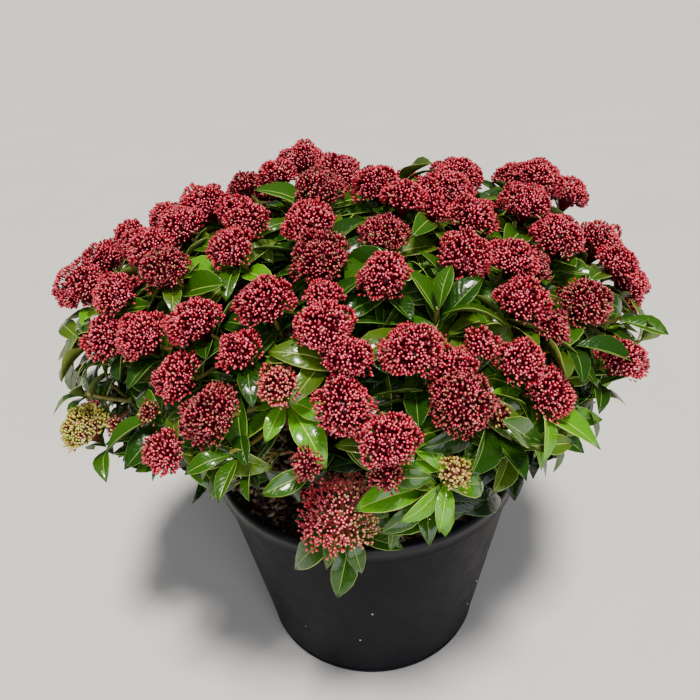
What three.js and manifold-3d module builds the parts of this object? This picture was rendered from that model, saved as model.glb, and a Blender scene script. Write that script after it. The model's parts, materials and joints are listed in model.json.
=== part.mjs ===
// A potted evergreen shrub with domed heads of small red flower buds, in a round nursery pot.
// Sizes are millimetres and +Z is up. The origin is the centre of the pot's flat underside,
// and -Y is the side that is looked at.
import * as THREE from "three";
import { mergeVertices } from "three/addons/utils/BufferGeometryUtils.js";
import Module from "manifold-3d";

const wasm = await Module();
wasm.setup();

// Clear space between two pieces that meet, and between points that count as one
const SEAT = 0.3;
const MERGE = 1e-3;

// Pot
const POT_HEIGHT = 201;
const POT_RIM_RADIUS = 146;
const POT_RIM_HEIGHT = 16;
const POT_RIM_OVERHANG = 3.5;
const POT_RIM_ROUND = 4;
const POT_RIM_BEVEL = 1;
const POT_BASE_RADIUS = 108.5;
const POT_FOOT_CHAMFER = 2.5;
const POT_WALL = 3;
const POT_FLOOR = 4;
const POT_SIDES = 44;

// Compost
const COMPOST_TOP = 185;
const COMPOST_MOUND = 3;
const COMPOST_LEVEL_SHARE = 0.75;
const COMPOST_SIDES = 30;

// Stem: a short trunk with a flare at the compost, leaning a little to the right
const STEM_HEIGHT = 66;
const STEM_FOOT_RADIUS = 19;
const STEM_NECK_RADIUS = 13;
const STEM_NECK_HEIGHT = 20;
const STEM_FLARE_RADIUS = 15;
const STEM_FLARE_HEIGHT = 7;
const STEM_TOP_RADIUS = 10.5;
const STEM_LEAN = 0.08;
const STEM_SIDES = 12;

// Crown: head centres lie near this ellipsoid
const CROWN_CENTRE = new THREE.Vector3(0, 0, 268);
const CROWN_RADII = new THREE.Vector3(247, 220, 186);
const CROWN_CORE = 0.5;
const SHOOTS_ON_A_SPHERE = 256;
const LATTICE_TURN = 132;
const LATTICE_JITTER = 2.5;
const REACH_JITTER = 0.05;
const HEAD_FLOOR = 24;
const HIGH_HEAD_SHARE = 0.94;
const LOW_HEAD_SHARE = 0.36;
const LOW_SHOOT_SHARE = 0.72;
const SKIRT_BACK = -3;
const SKIRT_FRONT = 12;
const SKIRT_RIGHT = 8;
const SKIRT_TURNS = [0.35, 0.8];
const CROWN_SKIN = 34;
const SEED = 315;

// Lobes stand out of the ellipsoid: azimuth and elevation in degrees, rise as a share of the reach
const LOBES = [
  { azimuth: -141, elevation: 70, rise: 0.15, spread: 18 },
  { azimuth: 104, elevation: 56, rise: 0.2, spread: 23 },
  { azimuth: -89, elevation: 36, rise: 0.15, spread: 20 },
  { azimuth: 86, elevation: 34, rise: 0.06, spread: 18 },
];

// Hollows hold no shoot, so that the limbs show
const HOLLOWS = [{ azimuth: -15, elevation: 25, spread: 8.5 }];

// Shoots with a place of their own: the loose low head in front, two pale heads and a squat one
const NAMED_SHOOTS = [
  { azimuth: -7, elevation: -1, reach: 0.78, radius: 27, flowering: true },
  { azimuth: -72, elevation: 5, reach: 1.02, radius: 15, flowering: true },
  { azimuth: 13, elevation: 18, reach: 1.0, radius: 11, flowering: true },
  { azimuth: -18, elevation: 36, reach: 0.97, radius: 13, flowering: true },
];
const NAMED_ROOM = 9;

// Leafy shoots inside the crown close it below and behind the heads
const INNER_ON_A_SPHERE = 52;
const INNER_TURN = 40;
const INNER_LOWEST = -14;
const INNER_HIGHEST = 34;
const INNER_REACH = 0.74;
const INNER_REACH_JITTER = 0.16;

// Masses of foliage, in three rings round the crown
const RINGS = [
  { name: "low", count: 7, elevation: 10, turn: 0, stemHeight: 20, riseAtStem: 28, offset: 3 },
  { name: "middle", count: 6, elevation: 38, turn: 28, stemHeight: 42, riseAtStem: 48, offset: 3 },
  { name: "top", count: 3, elevation: 72, turn: 10, stemHeight: 64, riseAtStem: 74, offset: 6.2 },
];
const SPACE_MARGIN = 0.014;
const CORE_MARGIN = 0.03;
const POT_MARGIN = 4;

// Limbs
const BOUGH_ROOT_RADIUS = 4.6;
const BOUGH_TIP_RADIUS = 3.4;
const BOUGH_SIDES = 5;
const BOUGH_STEPS = 3;
const BOUGH_BEND = 0.45;
const LEADER_ROOT_RADIUS = 4;
const TWIG_ROOT_RADIUS = 2.3;
const TWIG_TIP_RADIUS = 2.3;
const TWIG_SIDES = 3;
const TWIG_STEPS = 2;
const TWIG_BEND = 0.45;
const TWIG_LIFT = 0.35;
const LEADER_FIRST_FORK = 0.1;
const LEADER_LAST_FORK = 0.62;

// Heads
const HEAD_RADIUS = 16;
const HEAD_SPREAD = 6.5;
const HEAD_FLATNESS = 0.86;
const HEAD_SHARE_OF_GAP = 0.485;

// Leaves
const LEAF_LENGTH = 54;
const LEAF_SPREAD = 24;
const LEAF_SLENDERNESS = 0.42;
const LEAF_THICKNESS = 1.6;
const LEAF_WIDEST = 0.55;
const LEAF_ARCH = 0.1;
const LEAF_FOLD = 0.05;
const LEAF_BELOW_TIP = 5;
const LEAF_STAGGER = 3.5;
const LEAF_SUNK = 0.5;
const LEAF_TRIES = 9;
const LEAF_HEAD_SHARE = 0.96;
const LEAF_EDGE_MARGIN = 0.1;
const UNDER_HEAD_SPREAD = [66, 34];
const LEAFY_SPREAD = [30, 55];
const LEAVES_UNDER_HEAD = 3;
const LEAVES_ON_LEAFY_SHOOT = 5;
const GOLDEN_ANGLE = 137.50776;

// Places on a leaf, each as shares of its length and of its half width, and the ones tested for room
const LEAF_ROOT = [0.12, 0];
const LEAF_TIP = [1, 0];
const LEAF_HEART = [LEAF_WIDEST, 0];
const LEAF_LEFT = [LEAF_WIDEST, 1];
const LEAF_RIGHT = [LEAF_WIDEST, -1];
const LEAF_PLACES = [
  [0.2, 0],
  [0.3, 0.6],
  [0.3, -0.6],
  [0.75, 0.5],
  [0.75, -0.5],
  LEAF_LEFT,
  LEAF_RIGHT,
  LEAF_TIP,
];
const LEAF_LINES = [
  [LEAF_ROOT, LEAF_HEART],
  [LEAF_HEART, LEAF_TIP],
  [LEAF_LEFT, LEAF_RIGHT],
  [LEAF_ROOT, LEAF_LEFT],
  [LEAF_ROOT, LEAF_RIGHT],
  [LEAF_LEFT, LEAF_TIP],
  [LEAF_RIGHT, LEAF_TIP],
];

const rad = THREE.MathUtils.degToRad;
const up = new THREE.Vector3(0, 0, 1);

const potMaterial = new THREE.MeshStandardMaterial({ color: 0x26272b, roughness: 0.5, metalness: 0 });
const compostMaterial = new THREE.MeshStandardMaterial({ color: 0x4a3428, roughness: 1, metalness: 0 });
const barkMaterial = new THREE.MeshStandardMaterial({ color: 0x6b4a35, roughness: 0.85, metalness: 0 });
const foliageMaterial = new THREE.MeshStandardMaterial({ color: 0x3c6b1a, roughness: 0.4, metalness: 0 });

// A repeatable number from 0 to 1 for a row of whole numbers
function chance(...keys) {
  let mixed = SEED;
  for (const key of keys) {
    mixed = Math.imul(mixed ^ (key + 1), 2654435761);
    mixed ^= mixed >>> 15;
    mixed = Math.imul(mixed, 2246822519);
    mixed ^= mixed >>> 13;
  }
  return (mixed >>> 0) / 4294967296;
}

// Solids

function solidOf(geometry) {
  const bare = geometry.clone();
  bare.deleteAttribute("normal");
  bare.deleteAttribute("uv");
  const merged = mergeVertices(bare, MERGE);
  const index = merged.index.array;
  const triangles = [];
  for (let i = 0; i < index.length; i += 3) {
    const [a, b, c] = [index[i], index[i + 1], index[i + 2]];
    if (a !== b && b !== c && c !== a) triangles.push(a, b, c);
  }
  return new wasm.Manifold(new wasm.Mesh({
    numProp: 3,
    vertProperties: new Float32Array(merged.attributes.position.array),
    triVerts: new Uint32Array(triangles),
  }));
}

// Fusing can cut off a scrap or seal a hollow, and keeping the largest shell drops both
function largestShell(solid) {
  const shells = solid.decompose();
  return shells.reduce((best, shell) => (shell.volume() > best.volume() ? shell : best));
}

// True if no edge is shared by more than two faces once points that all but touch are merged
function isSound(solid) {
  const merged = mergeVertices(geometryOf(solid).deleteAttribute("normal"), MERGE);
  const index = merged.index.array;
  const seen = new Set();
  for (let i = 0; i < index.length; i += 3) {
    const corners = [index[i], index[i + 1], index[i + 2]];
    if (new Set(corners).size < 3) continue;
    for (let k = 0; k < 3; k += 1) {
      const edge = `${corners[k]} ${corners[(k + 1) % 3]}`;
      if (seen.has(edge)) return false;
      seen.add(edge);
    }
  }
  return true;
}

// Adds pieces one by one, and leaves out one that would hang loose or leave an unsound edge
function fuse(body, geometries) {
  let fused = body;
  for (const geometry of geometries) {
    const joined = fused.add(solidOf(geometry));
    const shell = largestShell(joined);
    if (isSound(shell)) fused = shell;
  }
  return fused;
}

function geometryOf(solid) {
  const mesh = solid.getMesh();
  const geometry = new THREE.BufferGeometry();
  geometry.setAttribute("position", new THREE.BufferAttribute(new Float32Array(mesh.vertProperties), 3));
  geometry.setIndex(new THREE.BufferAttribute(new Uint32Array(mesh.triVerts), 1));
  geometry.computeVertexNormals();
  return geometry;
}

function namedMesh(name, geometry, material) {
  const mesh = new THREE.Mesh(geometry, material.clone());
  mesh.name = name;
  return mesh;
}

// A straight or bent limb with a regular section, thinning evenly from root to tip
function limbGeometry(curve, rootRadius, tipRadius, sides, steps) {
  const section = new THREE.Shape();
  for (let side = 0; side < sides; side += 1) {
    const angle = (side * 2 * Math.PI) / sides;
    const [x, y] = [Math.cos(angle), Math.sin(angle)];
    if (side === 0) section.moveTo(x, y);
    else section.lineTo(x, y);
  }
  const geometry = new THREE.ExtrudeGeometry(section, { steps, extrudePath: curve, bevelEnabled: false });
  const stations = curve.getSpacedPoints(steps);
  const position = geometry.attributes.position;
  const point = new THREE.Vector3();
  for (let i = 0; i < position.count; i += 1) {
    point.fromBufferAttribute(position, i);
    let nearest = 0;
    for (let s = 1; s <= steps; s += 1) {
      if (point.distanceToSquared(stations[s]) < point.distanceToSquared(stations[nearest])) nearest = s;
    }
    const radius = THREE.MathUtils.lerp(rootRadius, tipRadius, nearest / steps);
    point.sub(stations[nearest]).multiplyScalar(radius).add(stations[nearest]);
    position.setXYZ(i, point.x, point.y, point.z);
  }
  return geometry;
}

// Pot and compost

function potGeometry() {
  const lip = POT_HEIGHT - POT_RIM_HEIGHT;
  const wallTop = POT_RIM_RADIUS - POT_RIM_OVERHANG;
  const rimInside = wallTop - POT_WALL;
  const round = [0, 45, 90].map((angle) => new THREE.Vector2(
    POT_RIM_RADIUS - POT_RIM_ROUND * (1 - Math.cos(rad(angle))),
    POT_HEIGHT - POT_RIM_ROUND * (1 - Math.sin(rad(angle))),
  ));
  const profile = [
    new THREE.Vector2(0, 0),
    new THREE.Vector2(POT_BASE_RADIUS - POT_FOOT_CHAMFER, 0),
    new THREE.Vector2(POT_BASE_RADIUS, POT_FOOT_CHAMFER),
    new THREE.Vector2(wallTop, lip),
    new THREE.Vector2(POT_RIM_RADIUS, lip + POT_RIM_OVERHANG / 2),
    ...round,
    new THREE.Vector2(rimInside, POT_HEIGHT - POT_RIM_BEVEL),
    new THREE.Vector2(rimInside, lip),
    new THREE.Vector2(POT_BASE_RADIUS - POT_WALL, POT_FLOOR),
    new THREE.Vector2(0, POT_FLOOR),
  ];
  return new THREE.LatheGeometry(profile, POT_SIDES).rotateX(Math.PI / 2);
}

// Radius of the pot's inner wall at a height
function potInside(height) {
  const lip = POT_HEIGHT - POT_RIM_HEIGHT;
  const share = (height - POT_FLOOR) / (lip - POT_FLOOR);
  const top = POT_RIM_RADIUS - POT_RIM_OVERHANG - POT_WALL;
  return THREE.MathUtils.lerp(POT_BASE_RADIUS - POT_WALL, top, Math.min(share, 1));
}

function compostGeometry() {
  const bottom = POT_FLOOR + SEAT;
  const flat = Math.cos(Math.PI / POT_SIDES);
  const edge = (height) => potInside(height) * flat - SEAT;
  const shoulder = COMPOST_TOP - COMPOST_MOUND;
  const profile = [
    new THREE.Vector2(0, bottom),
    new THREE.Vector2(edge(bottom), bottom),
    new THREE.Vector2(edge(shoulder), shoulder),
    new THREE.Vector2(edge(shoulder) * COMPOST_LEVEL_SHARE, COMPOST_TOP),
    new THREE.Vector2(0, COMPOST_TOP),
  ];
  return new THREE.LatheGeometry(profile, COMPOST_SIDES).rotateX(Math.PI / 2);
}

// Stem

const stemFoot = new THREE.Vector3(0, 0, COMPOST_TOP + SEAT);

function stemAxis(height) {
  return stemFoot.clone().add(new THREE.Vector3(STEM_LEAN * height, 0, height));
}

function stemGeometry(grow) {
  const profile = [
    new THREE.Vector2(0, -grow),
    new THREE.Vector2(STEM_FOOT_RADIUS + grow, -grow),
    new THREE.Vector2(STEM_FLARE_RADIUS + grow, STEM_FLARE_HEIGHT),
    new THREE.Vector2(STEM_NECK_RADIUS + grow, STEM_NECK_HEIGHT),
    new THREE.Vector2(STEM_TOP_RADIUS + grow, STEM_HEIGHT + grow),
    new THREE.Vector2(0, STEM_HEIGHT + grow),
  ];
  const geometry = new THREE.LatheGeometry(profile, STEM_SIDES).rotateX(Math.PI / 2);
  const position = geometry.attributes.position;
  for (let i = 0; i < position.count; i += 1) {
    position.setX(i, position.getX(i) + STEM_LEAN * position.getZ(i));
  }
  return geometry.translate(stemFoot.x, stemFoot.y, stemFoot.z);
}

// Crown directions: azimuth 0 is the side that is looked at, and 90 is +X

function direction(azimuth, elevation) {
  const flat = Math.cos(rad(elevation));
  return new THREE.Vector3(
    Math.sin(rad(azimuth)) * flat,
    -Math.cos(rad(azimuth)) * flat,
    Math.sin(rad(elevation)),
  );
}

function crownPoint(towards, reach) {
  return towards.clone().multiply(CROWN_RADII).multiplyScalar(reach).add(CROWN_CENTRE);
}

// A point's place in the crown, where the ellipsoid has radius 1
function crownPlace(point) {
  return point.clone().sub(CROWN_CENTRE).divide(CROWN_RADII);
}

function angleBetween(a, b) {
  return THREE.MathUtils.radToDeg(a.angleTo(b));
}

function lobeReach(towards) {
  let reach = 1;
  for (const lobe of LOBES) {
    const share = angleBetween(towards, direction(lobe.azimuth, lobe.elevation)) / lobe.spread;
    reach += lobe.rise * Math.exp(-share * share);
  }
  return reach;
}

// The crown's lower edge is higher in front, where the compost shows, and on the right
function skirtElevation(azimuth) {
  const front = THREE.MathUtils.smoothstep(Math.cos(rad(azimuth)), ...SKIRT_TURNS);
  const right = THREE.MathUtils.smoothstep(Math.sin(rad(azimuth)), ...SKIRT_TURNS);
  return Math.max(
    THREE.MathUtils.lerp(SKIRT_BACK, SKIRT_FRONT, front),
    THREE.MathUtils.lerp(SKIRT_BACK, SKIRT_RIGHT, right),
  );
}

// Shoots stand on a golden-angle lattice over the dome, with a little seeded scatter
function latticeShoots() {
  const shoots = [];
  for (let i = 0; i < SHOOTS_ON_A_SPHERE; i += 1) {
    const height = 1 - (2 * i + 1) / SHOOTS_ON_A_SPHERE;
    const level = THREE.MathUtils.radToDeg(Math.asin(height)) + LATTICE_JITTER * (2 * chance(i, 1) - 1);
    const elevation = Math.min(level, 89);
    const sideways = (LATTICE_JITTER * (2 * chance(i, 2) - 1)) / Math.max(Math.cos(rad(elevation)), 0.2);
    const azimuth = i * GOLDEN_ANGLE + LATTICE_TURN + sideways;
    if (elevation < skirtElevation(azimuth)) continue;
    if (elevation < HEAD_FLOOR && chance(i, 6) > LOW_SHOOT_SHARE) continue;
    const towards = direction(azimuth, elevation);
    const reach = lobeReach(towards) + REACH_JITTER * (chance(i, 3) - 0.5);
    const flowering = chance(i, 4) < (elevation > HEAD_FLOOR ? HIGH_HEAD_SHARE : LOW_HEAD_SHARE);
    const radius = HEAD_RADIUS + HEAD_SPREAD * chance(i, 5);
    shoots.push({ key: i, towards, reach, flowering, radius });
  }
  return shoots;
}

function crownShoots() {
  const named = NAMED_SHOOTS.map((shoot, i) => ({
    ...shoot,
    key: SHOOTS_ON_A_SPHERE + i,
    towards: direction(shoot.azimuth, shoot.elevation),
  }));
  const crowded = (shoot) => named.some((other) => angleBetween(shoot.towards, other.towards) < NAMED_ROOM);
  const hollow = (shoot) => HOLLOWS.some(
    (place) => angleBetween(shoot.towards, direction(place.azimuth, place.elevation)) < place.spread,
  );
  const free = latticeShoots().filter((shoot) => !crowded(shoot) && !hollow(shoot));
  const shoots = [...free, ...named];
  for (const shoot of shoots) shoot.tip = crownPoint(shoot.towards, shoot.reach);
  return shoots;
}

// Masses: each shoot belongs to the mass whose direction is nearest

function crownMasses(shoots) {
  const masses = [];
  for (const ring of RINGS) {
    for (let i = 0; i < ring.count; i += 1) {
      const azimuth = ring.turn + (i * 360) / ring.count;
      const name = `${ring.name}_${i + 1}`;
      masses.push({ name, ring, azimuth, towards: direction(azimuth, ring.elevation), shoots: [] });
    }
  }
  for (const shoot of shoots) {
    const nearest = masses.reduce((best, mass) => (
      mass.towards.angleTo(shoot.towards) < best.towards.angleTo(shoot.towards) ? mass : best
    ));
    shoot.mass = nearest;
    nearest.shoots.push(shoot);
  }
  for (const mass of masses) {
    mass.middle = meanDirection(mass.shoots);
  }
  return masses;
}

// Inner shoots grow in the mass of the outer shoot that they lie behind
function addInnerShoots(shoots) {
  for (let i = 0; i < INNER_ON_A_SPHERE; i += 1) {
    const elevation = THREE.MathUtils.radToDeg(Math.asin(1 - (2 * i + 1) / INNER_ON_A_SPHERE));
    if (elevation < INNER_LOWEST || elevation > INNER_HIGHEST) continue;
    const towards = direction(i * GOLDEN_ANGLE + INNER_TURN, elevation);
    const before = shoots.reduce((best, shoot) => (
      towards.distanceTo(shoot.towards) < towards.distanceTo(best.towards) ? shoot : best
    ));
    const reach = INNER_REACH + INNER_REACH_JITTER * (chance(i, 21) - 0.5);
    const tip = crownPoint(towards, reach);
    const key = SHOOTS_ON_A_SPHERE + NAMED_SHOOTS.length + i;
    before.mass.shoots.push({ key, towards, reach, tip, mass: before.mass, flowering: false, radius: 0 });
  }
}

function meanDirection(shoots) {
  const sum = new THREE.Vector3();
  for (const shoot of shoots) sum.add(shoot.towards);
  return sum.normalize();
}

// A mass owns the directions that lie nearer to one of its shoots than to any other mass's shoot,
// from the boughs' tips to a little past the ellipsoid
function insideSpace(point, mass, shoots) {
  const place = crownPlace(point);
  const reach = place.length();
  const towards = place.normalize();
  if (reach < CROWN_CORE + CORE_MARGIN) return false;
  if (point.distanceTo(CROWN_CENTRE) * (1 - lobeReach(towards) / reach) > CROWN_SKIN) return false;
  let own = Infinity;
  let other = Infinity;
  for (const shoot of shoots) {
    const distance = towards.distanceTo(shoot.towards);
    if (shoot.mass === mass) own = Math.min(own, distance);
    else other = Math.min(other, distance);
  }
  return own + SPACE_MARGIN < other;
}

// Heads keep clear of each other
function fitHeads(shoots) {
  for (const shoot of shoots) {
    if (!shoot.flowering) continue;
    for (const other of shoots) {
      if (other === shoot || !other.flowering) continue;
      const gap = shoot.tip.distanceTo(other.tip);
      shoot.radius = Math.min(shoot.radius, gap * HEAD_SHARE_OF_GAP);
    }
  }
}

function headGeometry(shoot) {
  const geometry = new THREE.IcosahedronGeometry(1, 0);
  geometry.scale(shoot.radius, shoot.radius, shoot.radius * HEAD_FLATNESS);
  geometry.applyQuaternion(new THREE.Quaternion().setFromUnitVectors(up, shoot.outward));
  return geometry.translate(shoot.tip.x, shoot.tip.y, shoot.tip.z);
}

// How far a blade has opened at a share of its length: 0 at root and tip, and 1 where it is widest
function bladeOpening(share) {
  return Math.min(share / LEAF_WIDEST, (1 - share) / (1 - LEAF_WIDEST));
}

// How far the blade stands off the line from root to tip, as a share of its length
function bladeLift(share, side) {
  return LEAF_ARCH * bladeOpening(share) + LEAF_FOLD * Math.abs(side);
}

// A point of the blade, at a share of its length and a share of its half width
function bladePoint(leaf, share, side) {
  return leaf.root.clone()
    .addScaledVector(leaf.along, leaf.length * share)
    .addScaledVector(leaf.side, (leaf.width / 2) * side)
    .addScaledVector(leaf.face, leaf.length * bladeLift(share, side));
}

// A leaf of eight faces: root, tip, two edges and the middle of each side of the blade
function leafGeometry(leaf) {
  const geometry = new THREE.OctahedronGeometry(1, 0);
  const position = geometry.attributes.position;
  for (let i = 0; i < position.count; i += 1) {
    const end = Math.round(position.getX(i));
    const share = end === 0 ? LEAF_WIDEST : (end + 1) / 2;
    const point = bladePoint(leaf, share, position.getY(i));
    point.addScaledVector(leaf.face, (position.getZ(i) * LEAF_THICKNESS) / 2);
    position.setXYZ(i, point.x, point.y, point.z);
  }
  return geometry;
}

// Leaves stand round the shoot below its tip, each a golden angle on from the last
function shootLeaves(shoot, count) {
  const { key, tip, outward, flowering, radius } = shoot;
  const across = new THREE.Vector3(1, 0.3, 0).cross(outward).normalize();
  const beside = outward.clone().cross(across);
  const [least, range] = flowering ? UNDER_HEAD_SPREAD : LEAFY_SPREAD;
  const firstBelow = LEAF_BELOW_TIP + (flowering ? radius * HEAD_FLATNESS : 0);
  const leaves = [];
  for (let k = 0; k < count; k += 1) {
    const turn = rad(k * GOLDEN_ANGLE + 360 * chance(key, 11));
    const spread = rad(least + range * chance(key, 12, k));
    const radial = across.clone().multiplyScalar(Math.cos(turn)).addScaledVector(beside, Math.sin(turn));
    const along = outward.clone().applyAxisAngle(outward.clone().cross(radial), spread);
    const face = along.clone().cross(outward.clone().cross(radial));
    const root = tip.clone().addScaledVector(outward, -firstBelow - LEAF_STAGGER * k);
    root.addScaledVector(along, -LEAF_SUNK);
    const length = LEAF_LENGTH + LEAF_SPREAD * chance(key, 13, k);
    const width = length * LEAF_SLENDERNESS;
    leaves.push({ root, along, face, side: face.clone().cross(along), length, width });
  }
  return leaves;
}

// Whether one leaf's lines run through the other's blade
function crosses(leaf, other) {
  const place = (share, side) => {
    const from = bladePoint(leaf, share, side).sub(other.root);
    const along = from.dot(other.along) / other.length;
    const across = Math.abs(from.dot(other.side)) / (other.width / 2);
    return { along, across, height: from.dot(other.face) - other.length * bladeLift(along, across) };
  };
  for (const [from, to] of LEAF_LINES) {
    const a = place(...from);
    const b = place(...to);
    if (a.height * b.height > 0) continue;
    const meeting = a.height / (a.height - b.height);
    const along = THREE.MathUtils.lerp(a.along, b.along, meeting);
    const across = THREE.MathUtils.lerp(a.across, b.across, meeting);
    const onBlade = along > LEAF_EDGE_MARGIN && along < 1;
    if (onBlade && across < bladeOpening(along) + LEAF_EDGE_MARGIN) return true;
  }
  return false;
}

// The rim and the compost are kept clear
function clearOfPot(point) {
  const across = Math.hypot(point.x, point.y);
  return point.z > POT_HEIGHT + POT_MARGIN || across > POT_RIM_RADIUS + POT_MARGIN;
}

function clearOfHeads(point, mass) {
  return mass.shoots.every((shoot) => (
    !shoot.flowering || point.distanceTo(shoot.tip) > shoot.radius * LEAF_HEAD_SHARE
  ));
}

function leafFits(leaf, mass, shoots) {
  return LEAF_PLACES.every(([share, side]) => {
    const point = bladePoint(leaf, share, side);
    return insideSpace(point, mass, shoots) && clearOfPot(point) && clearOfHeads(point, mass);
  });
}

// A mass's leader runs from the bough's tip to the shoot nearest its middle, and a twig leaves it
// for each other shoot, the widest first
function growTwigs(mass) {
  const start = boughTip(mass);
  const byWidth = [...mass.shoots].sort((a, b) => (
    a.towards.distanceTo(mass.middle) - b.towards.distanceTo(mass.middle)
  ));
  const [first, ...others] = byWidth;
  const leader = twigCurve(start, first);
  first.twig = { curve: leader, rootRadius: LEADER_ROOT_RADIUS };
  others.reverse().forEach((shoot, i) => {
    const share = others.length > 1 ? i / (others.length - 1) : 0;
    const station = THREE.MathUtils.lerp(LEADER_FIRST_FORK, LEADER_LAST_FORK, share);
    const [low, high] = station < 0.5 ? [0, 1] : [1, 2];
    const stations = leader.getSpacedPoints(TWIG_STEPS);
    const fork = stations[low].clone().lerp(stations[high], station * TWIG_STEPS - low);
    shoot.twig = { curve: twigCurve(fork, shoot), rootRadius: TWIG_ROOT_RADIUS };
  });
  for (const shoot of mass.shoots) {
    const stations = shoot.twig.curve.getSpacedPoints(TWIG_STEPS);
    shoot.outward = shoot.tip.clone().sub(stations[TWIG_STEPS - 1]).normalize();
  }
}

// A twig sets off towards its shoot and turns up and outwards at the tip
function twigCurve(from, shoot) {
  const length = from.distanceTo(shoot.tip);
  const outward = shoot.tip.clone().sub(CROWN_CENTRE).normalize().addScaledVector(up, TWIG_LIFT).normalize();
  const bend = shoot.tip.clone().addScaledVector(outward, -length * TWIG_BEND);
  return new THREE.QuadraticBezierCurve3(from, bend, shoot.tip);
}

function twigGeometry(twig) {
  return limbGeometry(twig.curve, twig.rootRadius, TWIG_TIP_RADIUS, TWIG_SIDES, TWIG_STEPS);
}

function boughTip(mass) {
  return crownPoint(mass.middle, CROWN_CORE);
}

// A bough leaves the stem, bends over and ends where its mass begins
function boughCurve(mass) {
  const start = stemAxis(mass.ring.stemHeight).addScaledVector(direction(mass.azimuth, 0), mass.ring.offset);
  const tip = boughTip(mass);
  const bend = start.distanceTo(tip) * BOUGH_BEND;
  const middle = start.clone().addScaledVector(direction(mass.azimuth, mass.ring.riseAtStem), bend);
  return new THREE.QuadraticBezierCurve3(start, middle, tip);
}

function boughLimb(curve, grow) {
  return limbGeometry(curve, BOUGH_ROOT_RADIUS + grow, BOUGH_TIP_RADIUS + grow, BOUGH_SIDES, BOUGH_STEPS);
}

// A bough with the clear space round it, which its mass's leader is cut back to
function boughSpace(mass) {
  const curve = boughCurve(mass);
  curve.v2.addScaledVector(curve.getTangent(1), SEAT);
  return solidOf(boughLimb(curve, SEAT));
}

function boughGeometry(mass, stemSpace) {
  return geometryOf(largestShell(solidOf(boughLimb(boughCurve(mass), 0)).subtract(stemSpace)));
}

function massGeometry(mass, shoots) {
  const space = boughSpace(mass);
  const [leader, ...others] = [...mass.shoots].sort((a, b) => b.twig.rootRadius - a.twig.rootRadius);
  const root = largestShell(solidOf(twigGeometry(leader.twig)).subtract(space));
  const heads = mass.shoots.filter((shoot) => shoot.flowering);
  const limbs = fuse(root, others.map((shoot) => twigGeometry(shoot.twig)));
  const flowering = fuse(limbs, heads.map(headGeometry));
  return geometryOf(fuse(flowering, massLeaves(mass, shoots).map(leafGeometry)));
}

// The leaves of a mass that fit, so many on each shoot
function massLeaves(mass, shoots) {
  const placed = [];
  for (const shoot of mass.shoots) {
    const most = shoot.flowering ? LEAVES_UNDER_HEAD : LEAVES_ON_LEAFY_SHOOT;
    let count = 0;
    for (const leaf of shootLeaves(shoot, most + LEAF_TRIES)) {
      if (count === most) break;
      if (!leafFits(leaf, mass, shoots)) continue;
      if (placed.some((other) => crosses(leaf, other) || crosses(other, leaf))) continue;
      placed.push(leaf);
      count += 1;
    }
  }
  return placed;
}

// The whole plant in its pot

const shrub = new THREE.Group();
const shoots = crownShoots();
const masses = crownMasses(shoots);
fitHeads(shoots);
addInnerShoots(shoots);
for (const mass of masses) growTwigs(mass);

shrub.add(namedMesh("pot", potGeometry(), potMaterial));
shrub.add(namedMesh("compost", compostGeometry(), compostMaterial));
shrub.add(namedMesh("stem", stemGeometry(0), barkMaterial));

const stemSpace = solidOf(stemGeometry(SEAT));
for (const mass of masses) {
  shrub.add(namedMesh(`bough_${mass.name}`, boughGeometry(mass, stemSpace), barkMaterial));
}
for (const mass of masses) {
  shrub.add(namedMesh(`foliage_${mass.name}`, massGeometry(mass, shoots), foliageMaterial));
}

export default shrub;
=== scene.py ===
"""A potted evergreen shrub: domed heads of small red flower buds over glossy leaves, in a round nursery pot.

Lengths are metres and +Z is up. The origin is the centre of the pot's flat underside, and -Y is the side
that is looked at. The limbs follow the rule of the part's source, written again here and carried on to
finer twigs, whorls of leaves and single buds.
"""

import json
import math
from types import SimpleNamespace

import bpy
import numpy as np
from bpy.props import FloatProperty, FloatVectorProperty, IntProperty, PointerProperty
from mathutils import Matrix, Vector, noise

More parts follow.
